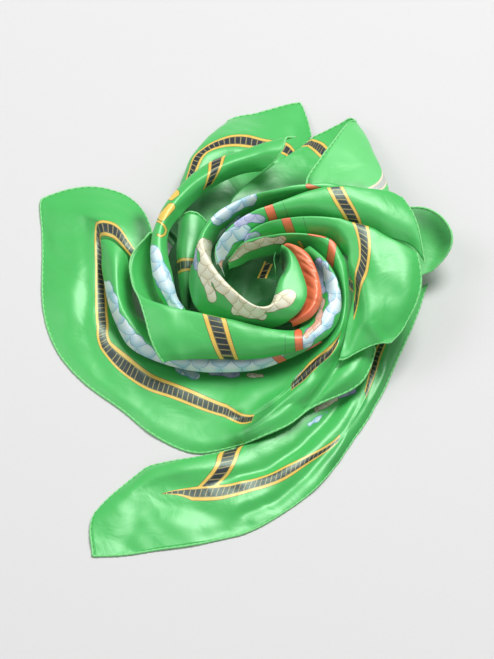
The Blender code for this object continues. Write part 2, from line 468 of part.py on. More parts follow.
def add_node(name, points, faces, colour):
    """Makes one closed mesh object from points in mm and a list of faces."""
    mesh = bpy.data.meshes.new(name)
    mesh.from_pydata((points * MM).tolist(), [], faces)
    mesh.update()
    obj = bpy.data.objects.new(name, mesh)
    bpy.context.scene.collection.objects.link(obj)
    material = bpy.data.materials.new(name)
    material.use_nodes = True
    shader = material.node_tree.nodes["Principled BSDF"]
    shader.inputs["Base Color"].default_value = (*colour, 1.0)
    shader.inputs["Roughness"].default_value = ROUGHNESS
    shader.inputs["Metallic"].default_value = 0.0
    mesh.materials.append(material)


def add_wall(name, columns, table, colour):
    """One stretch of cloth: a wall of even thickness about the surface of its table."""
    if len(table[0]) != len(columns):
        raise ValueError(f"{name}: its rows need {len(columns)} entries")
    grid = surface(table, FINE_ALONG, FINE_ACROSS)
    normal = np.cross(np.gradient(grid, axis=0), np.gradient(grid, axis=1))
    normal /= np.linalg.norm(normal, axis=-1, keepdims=True)
    upper = grid + normal * WALL / 2
    lower = grid - normal * WALL / 2
    lift = np.maximum(-np.minimum(upper[..., 2], lower[..., 2]), 0.0)
    upper[..., 2] += lift
    lower[..., 2] += lift
    points = np.concatenate([upper.reshape(-1, 3), lower.reshape(-1, 3)])
    add_node(name, points, wall_faces(grid).tolist(), colour)


def add_heap():
    """Hidden layers as one rounded solid with a flat underside and a hollow on top."""
    centre = place((HEAP_ACROSS, HEAP_DOWN, 0.0))
    hollow = place((HEAP_HOLLOW_ACROSS, HEAP_HOLLOW_DOWN, HEAP_RINGS[-1][0]))
    turn = np.arange(HEAP_SIDES) * 2 * math.pi / HEAP_SIDES
    rings = []
    for height, half_across, half_deep, sideways, backwards, to_hollow in HEAP_RINGS:
        middle = centre + (hollow - centre) * to_hollow
        across = middle[0] + sideways + half_across * np.cos(turn)
        deep = middle[1] + backwards + half_deep * np.sin(turn)
        rings.append(np.stack([across, deep, np.full(HEAP_SIDES, height)], -1))
    index = np.arange(len(rings) * HEAP_SIDES).reshape(-1, HEAP_SIDES)
    after = np.roll(index, -1, axis=1)
    sides = np.stack([index[:-1], after[:-1], after[1:], index[1:]], -1).reshape(-1, 4)
    faces = [index[0, ::-1].tolist(), *sides.tolist(), index[-1].tolist()]
    add_node("hidden_layers", np.concatenate(rings), faces, DEEP_GREEN)


WALLS = (
    ("front_apron", APRON_COLUMNS, APRON, GREEN),
    ("lower_roll", LOWER_ROLL_COLUMNS, LOWER_ROLL, PALE_BLUE),
    ("front_turn", FRONT_TURN_COLUMNS, FRONT_TURN, GREEN),
    ("inner_turn", INNER_TURN_COLUMNS, INNER_TURN, ORANGE),
    ("rose_heart", HEART_COLUMNS, HEART, GREEN),
    ("cone_mouth", MOUTH_COLUMNS, MOUTH, DEEP_GREEN),
    ("upper_roll", UPPER_ROLL_COLUMNS, UPPER_ROLL, GREEN),
    ("right_leaf", RIGHT_LEAF_COLUMNS, RIGHT_LEAF, GREEN),
    ("left_ribbon", RIBBON_COLUMNS, RIBBON, GREEN),
    ("small_leaf", SMALL_LEAF_COLUMNS, SMALL_LEAF, GREEN),
    ("back_leaf", BACK_LEAF_COLUMNS, BACK_LEAF, GREEN),
    ("back_cornet", CORNET_COLUMNS, CORNET, PALE_GREEN),
    ("right_ear", EAR_COLUMNS, EAR, PALE_GREEN),
    ("long_tail", TAIL_COLUMNS, TAIL, GREEN),
)


for old in list(bpy.data.objects):
    bpy.data.objects.remove(old)
add_heap()
for wall in WALLS:
    add_wall(*wall)
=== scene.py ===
"""Looks of a silk square scarf, swirled into a loose rose and laid down with its corners spread out.

Each stretch of cloth that shows is a thin shell over one smooth surface. Its table has a row for each
section across the stretch and a named column for each line along it. An entry is (across, down, height)
in millimetres: across and down on a sight plane that leans back 55 degrees, height over the floor.
"""

import logging
import math
from dataclasses import dataclass, field
from enum import Enum

import bmesh
import bpy
import numpy as np
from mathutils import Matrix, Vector


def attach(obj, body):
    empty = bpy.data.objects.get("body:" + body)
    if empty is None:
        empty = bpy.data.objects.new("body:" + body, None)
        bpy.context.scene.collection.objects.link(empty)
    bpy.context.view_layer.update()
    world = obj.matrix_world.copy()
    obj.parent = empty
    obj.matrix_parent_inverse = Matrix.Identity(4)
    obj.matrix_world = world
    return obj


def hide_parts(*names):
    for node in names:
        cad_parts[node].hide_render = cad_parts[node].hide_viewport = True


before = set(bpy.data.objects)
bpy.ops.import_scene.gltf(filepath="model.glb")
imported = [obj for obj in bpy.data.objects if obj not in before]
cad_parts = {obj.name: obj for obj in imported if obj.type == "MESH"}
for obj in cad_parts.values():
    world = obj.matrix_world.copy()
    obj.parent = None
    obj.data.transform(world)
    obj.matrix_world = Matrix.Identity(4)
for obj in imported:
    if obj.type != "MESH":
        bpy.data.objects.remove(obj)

LOG = logging.getLogger("scarf")
MM = 0.001

# The line of sight over the floor, and the place on the sight plane that lies over the origin.
SIGHT_ANGLE = math.radians(55.0)
TOWARD_CAMERA = (0.0, -math.cos(SIGHT_ANGLE), math.sin(SIGHT_ANGLE))
UP_THE_SIGHT_PLANE = (0.0, math.sin(SIGHT_ANGLE), math.cos(SIGHT_ANGLE))
CENTRE_ACROSS = 247.0
CENTRE_DOWN = 330.0
CAMERA_DOWN = 329.5

# A place across the ladder stripe that is well outside it, in half widths.
NO_STRIPE = 9.0
HEAP_CLOTH = "hidden_layers_cloth"

Grid = np.ndarray
Colour = tuple[float, float, float]
Entry = tuple[float, float, float]
Table = tuple[tuple[Entry, ...], ...]
Path = tuple[tuple[float, float], ...]
Tree = bpy.types.NodeTree
Node = bpy.types.Node
Socket = bpy.types.NodeSocket
Material = bpy.types.Material
Object = bpy.types.Object

# Left corner leaf and front apron, which climbs on the right and turns round the heart.
APRON_COLUMNS = ("hem", "lobe", "trough", "ridge", "stripe_out", "stripe_in", "under", "foot")
APRON: Table = (
    ((158, 254, 18), (155, 255, 20), (151, 256, 22), (147, 257, 23),
     (142, 258, 24), (138, 266, 20), (138, 280, 10), (142, 290, 8)),
    ((147, 219, 20), (143, 225, 23), (139, 231, 26), (135, 238, 28),
     (131, 244, 29), (126, 251, 28), (127, 266, 12), (132, 284, 8)),
    ((128, 196, 12), (126, 204, 17), (124, 211, 22), (121, 218, 26),
     (118, 225, 29), (116, 240, 28), (118, 256, 13), (126, 282, 8)),
    ((98, 187, 6), (99, 196, 13), (101, 205, 19), (102, 213, 24),
     (104, 220, 28), (107, 236, 26), (111, 253, 12), (122, 280, 8)),
    ((70, 190, 3), (76, 199, 9), (83, 207, 15), (90, 215, 21),
     (98, 221, 26), (103, 236, 23), (108, 254, 10), (119, 282, 7)),
    ((43, 200, 1), (57, 208, 7), (70, 214, 12), (83, 219, 17),
     (95, 224, 22), (101, 238, 19), (107, 258, 9), (117, 286, 7)),
    ((42, 225, 1), (55, 229, 6), (69, 233, 10), (82, 237, 14),
     (94, 242, 17), (102, 250, 12), (109, 268, 7), (118, 294, 6)),
    ((43, 262, 1), (56, 264, 6), (69, 266, 9), (82, 268, 12),
     (95, 270, 13), (105, 275, 8), (112, 288, 6), (122, 308, 5)),
    ((43, 302, 1), (56, 301, 5), (69, 300, 8), (82, 298, 10),
     (95, 297, 11), (107, 298, 7), (115, 309, 6), (128, 326, 5)),
    ((50, 335, 1), (62, 332, 5), (74, 329, 7), (85, 327, 9),
     (96, 324, 10), (109, 322, 7), (120, 331, 6), (136, 344, 5)),
    ((65, 362, 1), (74, 356, 4), (83, 350, 6), (92, 345, 8),
     (101, 342, 9), (112, 338, 8), (127, 344, 7), (146, 353, 6)),
    ((90, 387, 1), (97, 381, 4), (104, 375, 6), (111, 369, 7),
     (118, 367, 7), (129, 352, 8), (145, 356, 7), (163, 360, 7)),
    ((120, 407, 1), (126, 402, 4), (132, 396, 5), (137, 391, 6),
     (142, 387, 7), (149, 372, 9), (163, 364, 8), (180, 362, 8)),
    ((150, 432, 1), (155, 423, 4), (159, 414, 5), (163, 405, 6),
     (166, 397, 8), (171, 382, 10), (183, 369, 9), (195, 361, 9)),
    ((190, 452, 1), (192, 441, 5), (194, 430, 6), (196, 418, 7),
     (198, 409, 9), (201, 394, 12), (208, 376, 11), (212, 362, 10)),
    ((221, 449, 2), (221, 443, 6), (222, 436, 8), (223, 427, 9),
     (224, 417, 11), (227, 404, 15), (232, 384, 15), (236, 364, 12)),
    ((245, 442, 12), (245, 437, 16), (245, 433, 19), (246, 429, 20),
     (247, 420, 16), (251, 408, 20), (254, 386, 19), (256, 364, 15)),
    ((268, 433, 20), (267, 426, 23), (267, 420, 25), (267, 414, 27),
     (268, 408, 21), (273, 396, 25), (274, 378, 23), (272, 362, 18)),
    ((290, 423, 22), (289, 413, 25), (287, 405, 27), (284, 400, 31),
     (284, 395, 25), (290, 382, 31), (290, 368, 28), (284, 356, 21)),
    ((308, 409, 22), (308, 405, 24), (307, 400, 26), (301, 383, 37),
     (300, 378, 31), (306, 367, 37), (304, 358, 33), (297, 348, 25)),
    ((328, 399, 22), (325, 392, 28), (318, 385, 29), (314, 369, 42),
     (313, 365, 37), (320, 353, 43), (316, 346, 38), (308, 338, 29)),
    ((350, 390, 22), (343, 380, 32), (328, 371, 32), (325, 360, 44),
     (324, 356, 41), (331, 341, 48), (327, 335, 42), (318, 328, 32)),
    ((366, 375, 24), (356, 366, 34), (336, 359, 33), (334, 352, 46),
     (334, 347, 45), (340, 328, 52), (335, 323, 45), (326, 316, 35)),
    ((375, 347, 26), (362, 346, 32), (350, 340, 31), (345, 332, 42),
     (344, 324, 49), (343, 314, 54), (336, 309, 44), (328, 303, 36)),
    ((372, 322, 24), (364, 322, 27), (356, 317, 31), (350, 308, 42),
     (348, 301, 53), (344, 297, 57), (336, 294, 46), (328, 290, 38)),
    ((372, 300, 26), (364, 299, 30), (357, 295, 37), (350, 288, 50),
     (347, 282, 59), (341, 277, 62), (333, 275, 52), (325, 273, 44)),
    ((370, 278, 30), (362, 278, 35), (355, 275, 44), (348, 269, 56),
     (344, 263, 65), (336, 259, 68), (328, 261, 59), (321, 264, 50)),
    ((341, 260, 44), (340, 255, 53), (339, 250, 62), (338, 247, 69),
     (335, 245, 72), (327, 245, 72), (321, 250, 62), (317, 256, 52)),
    ((331, 250, 47), (330, 245, 56), (329, 240, 65), (327, 237, 72),
     (324, 238, 75), (315, 240, 72), (310, 244, 62), (307, 250, 50)),
    ((304, 248, 46), (304, 243, 55), (303, 237, 65), (303, 234, 73),
     (302, 234, 77), (298, 239, 70), (297, 245, 59), (297, 251, 49)),
    ((276, 249, 47), (276, 244, 56), (275, 238, 66), (274, 235, 74),
     (274, 235, 78), (273, 241, 71), (272, 248, 60), (272, 255, 50)),
    ((250, 256, 43), (250, 251, 52), (250, 245, 62), (249, 241, 70),
     (249, 241, 74), (249, 246, 68), (250, 253, 57), (251, 259, 48)),
)

# Lower roll, from the left leaf round the front.
LOWER_ROLL_COLUMNS = ("outer", "rise", "crest", "fall", "inner")
LOWER_ROLL: Table = (
    ((101, 240, 28), (107, 240, 31), (114, 243, 33), (121, 249, 33), (127, 256, 29)),
    ((102, 252, 24), (107, 253, 32), (114, 255, 36), (122, 260, 33), (129, 268, 24)),
    ((102, 266, 21), (108, 268, 31), (115, 270, 37), (123, 275, 32), (131, 283, 20)),
    ((104, 285, 19), (109, 287, 30), (116, 290, 36), (124, 294, 31), (133, 300, 20)),
    ((108, 305, 18), (113, 306, 28), (120, 307, 34), (128, 309, 30), (137, 314, 20)),
    ((116, 325, 17), (121, 322, 27), (127, 320, 33), (136, 320, 30), (146, 322, 21)),
    ((127, 344, 17), (131, 339, 26), (137, 334, 31), (146, 331, 29), (156, 331, 22)),
    ((146, 357, 17), (149, 351, 25), (154, 346, 30), (161, 342, 29), (170, 341, 23)),
    ((170, 366, 18), (172, 361, 25), (176, 356, 29), (181, 352, 29), (188, 350, 24)),
    ((200, 372, 20), (201, 367, 26), (203, 362, 29), (206, 358, 29), (210, 355, 24)),
    ((230, 372, 23), (230, 367, 28), (230, 362, 31), (231, 358, 30), (232, 355, 26)),
    ((258, 370, 27), (256, 365, 33), (254, 360, 35), (252, 355, 33), (250, 351, 27)),
    ((285, 361, 34), (282, 356, 39), (278, 351, 41), (274, 347, 36), (270, 344, 29)),
    ((306, 351, 42), (302, 347, 45), (297, 343, 45), (292, 339, 41), (287, 336, 33)),
    ((322, 342, 48), (318, 338, 50), (313, 334, 49), (308, 330, 44), (303, 327, 36)),
)

# Front turn of the rose, a trumpet at its left end, which climbs round the right of the heart.
FRONT_TURN_COLUMNS = ("back", "valley", "drop", "fold", "face", "belly", "low", "under")
FRONT_TURN: Table = (
    ((150, 233, 50), (131, 258, 44), (133, 285, 47), (140, 299, 54),
     (146, 318, 53), (151, 337, 48), (158, 353, 41), (164, 362, 35)),
    ((160, 252, 22), (156, 286, 19), (159, 310, 36), (159, 303, 58),
     (162, 320, 57), (166, 337, 52), (170, 352, 44), (174, 360, 37)),
    ((174, 304, 28), (172, 312, 35), (171, 312, 47), (171, 306, 60),
     (173, 322, 58), (176, 338, 53), (179, 352, 45), (182, 360, 38)),
    ((184, 320, 34), (184, 316, 42), (184, 313, 51), (184, 309, 60),
     (185, 323, 58), (187, 338, 53), (189, 351, 45), (190, 359, 38)),
    ((215, 329, 34), (215, 325, 42), (215, 321, 52), (215, 317, 61),
     (217, 329, 59), (219, 342, 53), (221, 353, 45), (222, 359, 38)),
    ((250, 333, 43), (250, 330, 50), (250, 327, 56), (250, 325, 61),
     (251, 335, 60), (252, 345, 55), (253, 354, 48), (253, 359, 41)),
    ((277, 337, 45), (277, 334, 51), (276, 331, 57), (276, 329, 62),
     (279, 337, 62), (281, 345, 58), (283, 351, 52), (284, 355, 46)),
    ((293, 337, 44), (294, 335, 48), (295, 332, 53), (297, 330, 57),
     (301, 334, 61), (305, 338, 61), (308, 343, 57), (309, 347, 51)),
    ((302, 323, 38), (304, 321, 42), (307, 320, 46), (310, 319, 50),
     (315, 321, 58), (321, 325, 63), (326, 330, 60), (329, 334, 53)),
    ((309, 304, 42), (313, 303, 46), (316, 303, 50), (320, 302, 54),
     (326, 304, 61), (332, 308, 64), (337, 312, 61), (339, 316, 55)),
    ((312, 290, 44), (316, 290, 48), (319, 290, 51), (323, 289, 55),
     (329, 290, 62), (335, 291, 66), (340, 294, 64), (341, 298, 59)),
    ((311, 277, 47), (314, 276, 50), (317, 275, 53), (321, 274, 57),
     (326, 273, 64), (332, 274, 68), (336, 277, 67), (338, 282, 61)),
    ((303, 266, 50), (306, 264, 54), (309, 262, 57), (313, 261, 61),
     (317, 260, 67), (321, 258, 70), (325, 258, 69), (329, 262, 63)),
    ((296, 257, 52), (298, 254, 55), (300, 252, 58), (303, 250, 61),
     (306, 248, 64), (309, 246, 66), (311, 247, 64), (312, 250, 59)),
)

# Innermost turn, a narrow crescent on the right of the heart.
INNER_TURN_COLUMNS = ("inner", "crest", "outer", "under")
INNER_TURN: Table = (
    ((281, 253, 61), (282, 249, 67), (283, 246, 68), (283, 248, 62)),
    ((287, 250, 66), (288, 246, 72), (288, 243, 73), (288, 246, 67)),
    ((292, 257, 67), (299, 252, 75), (305, 250, 74), (307, 254, 68)),
    ((297, 268, 66), (308, 266, 74), (315, 265, 73), (317, 270, 68)),
    ((302, 280, 65), (313, 278, 73), (319, 278, 71), (321, 283, 66)),
    ((303, 293, 64), (315, 292, 72), (321, 291, 69), (322, 297, 64)),
    ((301, 304, 63), (312, 305, 70), (317, 305, 67), (317, 310, 62)),
    ((295, 313, 62), (303, 315, 68), (308, 317, 65), (308, 320, 61)),
    ((284, 318, 56), (289, 321, 61), (292, 324, 59), (292, 327, 54)),
)

# Heart of the rose: mouth of the cone, lip of the hollow, left side, crest at the back.
HEART_COLUMNS = ("inner_foot", "inner_face", "crest", "face", "belly", "outer_foot")
HEART: Table = (
    ((280, 262, 54), (280, 254, 70), (281, 247, 81), (282, 245, 79), (283, 246, 75), (283, 250, 69)),
    ((283, 267, 52), (284, 258, 70), (287, 250, 84), (291, 251, 83), (294, 254, 80), (294, 257, 75)),
    ((284, 277, 50), (285, 267, 70), (289, 259, 84), (295, 261, 84), (300, 266, 81), (300, 270, 75)),
    ((282, 286, 50), (283, 277, 70), (287, 269, 84), (295, 272, 84), (304, 278, 80), (304, 282, 74)),
    ((276, 297, 48), (278, 287, 68), (281, 279, 84), (291, 285, 83), (306, 291, 79), (306, 295, 73)),
    ((271, 308, 46), (274, 298, 68), (278, 290, 83), (289, 297, 82), (302, 304, 78), (303, 307, 73)),
    ((265, 313, 46), (270, 306, 67), (276, 300, 82), (283, 307, 78), (291, 315, 72), (293, 318, 68)),
    ((257, 314, 46), (262, 309, 67), (267, 307, 82), (270, 315, 72), (272, 323, 60), (273, 329, 47)),
    ((248, 312, 46), (252, 307, 67), (255, 306, 82), (255, 314, 71), (254, 322, 59), (253, 329, 45)),
    ((238, 305, 47), (240, 299, 68), (241, 297, 82), (239, 306, 72), (236, 316, 59), (234, 325, 43)),
    ((227, 292, 48), (226, 285, 69), (225, 283, 83), (222, 294, 74), (217, 306, 61), (212, 319, 44)),
    ((218, 276, 50), (215, 268, 71), (212, 266, 85), (208, 279, 76), (202, 293, 62), (196, 308, 44)),
    ((212, 260, 52), (208, 252, 75), (204, 249, 85), (199, 257, 81), (195, 277, 65), (190, 291, 48)),
    ((213, 247, 53), (209, 240, 76), (204, 236, 86), (197, 240, 83), (193, 260, 67), (189, 272, 50)),
    ((221, 236, 58), (217, 228, 77), (213, 221, 87), (206, 223, 84), (202, 239, 69), (198, 250, 50)),
    ((237, 222, 62), (234, 214, 80), (229, 208, 88), (223, 208, 84), (220, 217, 68), (215, 226, 50)),
    ((258, 209, 68), (256, 200, 83), (252, 195, 89), (250, 196, 84), (246, 203, 68), (242, 212, 48)),
    ((280, 202, 72), (279, 194, 85), (276, 189, 89), (275, 190, 84), (273, 197, 68), (271, 207, 46)),
    ((300, 195, 76), (300, 189, 86), (300, 185, 88), (300, 185, 85), (300, 192, 71), (300, 204, 46)),
    ((328, 191, 74), (328, 188, 83), (327, 184, 85), (327, 184, 82), (328, 191, 68), (329, 203, 46)),
    ((350, 195, 66), (350, 193, 74), (350, 189, 76), (350, 188, 73), (351, 195, 62), (352, 203, 46)),
)

# Far rim of the cone's mouth, where the cloth of the centre ends.
MOUTH_COLUMNS = ("foot", "face", "crest")
MOUTH: Table = (
    ((276, 283, 50), (275, 275, 66), (275, 268, 76)),
    ((275, 276, 50), (274, 266, 67), (273, 259, 78)),
    ((276, 268, 50), (275, 259, 68), (275, 252, 79)),
)

# Upper roll of the right leaf: it starts in the hollow and ends in a hem on the right.
UPPER_ROLL_COLUMNS = ("back", "crest", "face", "belly", "low")
UPPER_ROLL: Table = (
    ((214, 248, 74), (215, 247, 79), (218, 251, 73), (220, 256, 65), (222, 262, 56)),
    ((225, 232, 78), (226, 231, 83), (230, 237, 77), (234, 244, 68), (238, 252, 57)),
    ((247, 215, 81), (248, 214, 86), (253, 220, 81), (258, 227, 73), (262, 235, 62)),
    ((276, 203, 83), (277, 202, 88), (281, 209, 85), (284, 216, 77), (287, 224, 65)),
    ((308, 193, 84), (308, 192, 89), (311, 202, 86), (314, 211, 79), (317, 221, 67)),
    ((331, 189, 84), (331, 188, 89), (337, 201, 87), (344, 214, 80), (349, 225, 69)),
    ((350, 189, 83), (350, 187, 88), (359, 202, 87), (366, 216, 80), (371, 231, 68)),
    ((371, 191, 81), (372, 189, 86), (381, 206, 85), (388, 223, 78), (392, 239, 66)),
    ((391, 193, 76), (391, 191, 81), (400, 208, 80), (407, 227, 74), (411, 245, 63)),
    ((403, 200, 73), (402, 197, 77), (412, 213, 75), (419, 233, 70), (424, 262, 60)),
)

# Lower layer of the right leaf, with its flank on the left and its hem on the right and below.
RIGHT_LEAF_COLUMNS = ("back", "crest", "face", "belly", "flank", "skirt", "hem")
RIGHT_LEAF: Table = (
    ((249, 232, 74), (250, 232, 79), (252, 237, 73), (252, 240, 67),
     (252, 244, 60), (252, 248, 53), (253, 251, 48)),
    ((269, 222, 77), (269, 221, 82), (271, 226, 78), (273, 231, 72),
     (274, 236, 65), (275, 240, 58), (275, 244, 52)),
    ((300, 219, 78), (300, 217, 83), (302, 223, 79), (304, 229, 73),
     (306, 235, 65), (308, 240, 57), (309, 244, 50)),
    ((332, 220, 78), (332, 218, 83), (332, 226, 79), (331, 233, 71),
     (331, 239, 62), (332, 244, 54), (333, 248, 48)),
    ((341, 221, 78), (341, 219, 83), (341, 229, 80), (340, 237, 74),
     (341, 244, 67), (342, 249, 60), (343, 253, 54)),
    ((351, 225, 77), (351, 223, 82), (350, 233, 80), (349, 241, 77),
     (349, 247, 74), (350, 252, 70), (351, 257, 66)),
    ((369, 230, 76), (369, 228, 81), (366, 244, 79), (360, 258, 74),
     (355, 272, 67), (353, 283, 60), (353, 293, 53)),
    ((385, 238, 73), (385, 236, 78), (383, 258, 76), (374, 280, 71),
     (363, 300, 61), (355, 322, 50), (347, 347, 42)),
    ((399, 245, 70), (399, 243, 75), (401, 268, 72), (392, 292, 66),
     (376, 312, 62), (364, 330, 52), (358, 349, 42)),
    ((409, 250, 67), (409, 248, 72), (413, 274, 67), (406, 300, 61),
     (392, 322, 54), (383, 334, 48), (375, 343, 43)),
    ((417, 256, 63), (417, 253, 68), (421, 278, 61), (416, 301, 55),
     (408, 318, 50), (400, 332, 46), (389, 343, 43)),
)

# Ribbon on the left, a half tube with a hem at its upper end.
RIBBON_COLUMNS = ("side", "outer", "face", "belly", "inner", "under")
RIBBON: Table = (
    ((295, 137, 66), (286, 138, 70), (283, 147, 72), (277, 157, 68), (267, 167, 60), (258, 171, 52)),
    ((273, 144, 62), (264, 143, 68), (262, 152, 71), (257, 161, 66), (250, 169, 58), (245, 173, 50)),
    ((240, 155, 60), (236, 151, 66), (236, 159, 70), (234, 166, 66), (231, 174, 57), (229, 178, 50)),
    ((215, 166, 58), (210, 161, 64), (212, 169, 69), (212, 177, 65), (210, 184, 56), (209, 188, 50)),
    ((191, 182, 56), (187, 177, 62), (190, 183, 67), (192, 190, 64), (193, 198, 56), (194, 202, 50)),
    ((173, 205, 53), (166, 200, 59), (169, 204, 65), (173, 208, 64), (177, 212, 57), (180, 216, 51)),
    ((160, 231, 50), (154, 226, 56), (157, 227, 62), (162, 228, 62), (166, 229, 57), (168, 233, 51)),
    ((158, 256, 48), (151, 251, 53), (154, 250, 60), (160, 249, 61), (165, 249, 57), (167, 253, 51)),
    ((161, 278, 46), (153, 273, 50), (157, 271, 57), (163, 270, 59), (169, 268, 55), (171, 272, 49)),
    ((166, 295, 43), (158, 293, 46), (162, 290, 52), (168, 289, 54), (174, 288, 51), (176, 292, 46)),
    ((171, 304, 40), (164, 303, 42), (169, 301, 46), (174, 300, 48), (178, 299, 45), (180, 302, 41)),
)

# Small leaf that stands between the ribbon and the heart.
SMALL_LEAF_COLUMNS = ("left", "left_face", "middle", "right_face", "right")
SMALL_LEAF: Table = (
    ((178, 223, 38), (181, 216, 43), (189, 212, 47), (198, 214, 45), (206, 222, 39)),
    ((177, 240, 36), (181, 237, 41), (188, 237, 43), (196, 239, 41), (201, 245, 35)),
    ((177, 262, 33), (181, 260, 38), (187, 260, 40), (193, 261, 38), (197, 264, 33)),
    ((179, 283, 27), (182, 282, 31), (186, 281, 33), (190, 281, 32), (193, 283, 28)),
    ((182, 303, 20), (184, 302, 23), (186, 301, 24), (188, 302, 23), (190, 303, 20)),
)

# Corner leaf at the back left.
BACK_LEAF_COLUMNS = ("hem", "border", "slope", "stripe_out", "stripe_in", "inner", "foot", "deep")
BACK_LEAF: Table = (
    ((196, 196, 2), (186, 190, 12), (180, 184, 22), (183, 186, 30),
     (189, 190, 32), (198, 196, 28), (206, 204, 20), (216, 214, 14)),
    ((204, 176, 2), (193, 168, 14), (187, 166, 25), (189, 168, 32),
     (196, 174, 35), (206, 182, 31), (216, 192, 22), (226, 212, 14)),
    ((213, 152, 2), (202, 147, 14), (195, 151, 26), (194, 155, 32),
     (203, 157, 36), (213, 164, 33), (224, 176, 24), (236, 212, 14)),
    ((222, 129, 3), (212, 131, 15), (206, 137, 26), (206, 144, 32),
     (211, 150, 36), (220, 158, 34), (230, 170, 26), (243, 209, 14)),
    ((231, 118, 3), (227, 123, 14), (223, 130, 23), (222, 136, 30),
     (224, 146, 36), (229, 156, 34), (238, 168, 27), (250, 206, 15)),
    ((250, 113, 3), (248, 120, 11), (246, 127, 20), (244, 133, 27),
     (243, 146, 35), (246, 156, 34), (252, 166, 28), (262, 201, 16)),
    ((275, 107, 3), (272, 116, 9), (270, 126, 16), (265, 138, 24),
     (262, 150, 31), (264, 160, 32), (268, 168, 28), (276, 197, 17)),
    ((298, 103, 3), (294, 115, 8), (290, 126, 14), (286, 141, 20),
     (280, 153, 27), (279, 162, 29), (280, 169, 26), (287, 194, 18)),
    ((306, 117, 4), (303, 127, 8), (299, 137, 13), (294, 148, 18),
     (288, 157, 24), (286, 164, 26), (285, 171, 24), (292, 192, 18)),
    ((311, 136, 5), (307, 142, 9), (303, 149, 13), (298, 156, 17),
     (293, 162, 21), (290, 168, 22), (288, 174, 21), (295, 190, 18)),
)

# Cornet at the back right: its near layer turns the pale side of the cloth out.
CORNET_COLUMNS = ("hem", "upper", "middle", "lower", "foot", "under")
CORNET: Table = (
    ((304, 144, 16), (287, 156, 31), (267, 169, 36), (249, 182, 40), (232, 198, 43), (226, 211, 41)),
    ((314, 137, 11), (304, 151, 24), (290, 167, 30), (276, 181, 34), (263, 194, 38), (258, 207, 34)),
    ((330, 129, 7), (322, 145, 15), (312, 162, 22), (303, 177, 28), (294, 190, 33), (296, 202, 30)),
    ((343, 122, 9), (338, 139, 14), (332, 158, 20), (326, 175, 26), (321, 190, 31), (322, 202, 30)),
    ((352, 117, 14), (357, 132, 18), (361, 150, 22), (365, 168, 27), (368, 186, 32), (369, 199, 33)),
    ((357, 121, 19), (368, 135, 24), (376, 151, 29), (384, 168, 34), (390, 186, 38), (391, 198, 38)),
    ((353, 120, 24), (357, 136, 33), (359, 153, 40), (360, 170, 45), (362, 185, 49), (364, 198, 49)),
    ((350, 121, 26), (342, 131, 34), (331, 146, 41), (319, 162, 46), (308, 178, 50), (308, 193, 51)),
)

# Ear on the right, the pale side up.
EAR_COLUMNS = ("hem", "curl", "hollow", "foot", "deep")
EAR: Table = (
    ((408, 208, 34), (404, 215, 32), (398, 223, 30), (390, 232, 28), (347, 242, 14)),
    ((424, 208, 41), (417, 218, 35), (408, 229, 31), (398, 239, 28), (353, 248, 14)),
    ((441, 216, 46), (430, 226, 36), (418, 237, 31), (404, 245, 27), (357, 253, 14)),
    ((451, 231, 45), (438, 238, 34), (423, 246, 29), (408, 252, 26), (360, 259, 14)),
    ((451, 246, 39), (438, 250, 30), (424, 255, 27), (410, 260, 24), (362, 266, 14)),
    ((444, 258, 31), (434, 260, 26), (422, 265, 24), (410, 269, 22), (363, 273, 14)),
    ((432, 271, 24), (427, 272, 23), (420, 275, 22), (412, 279, 20), (363, 281, 14)),
)

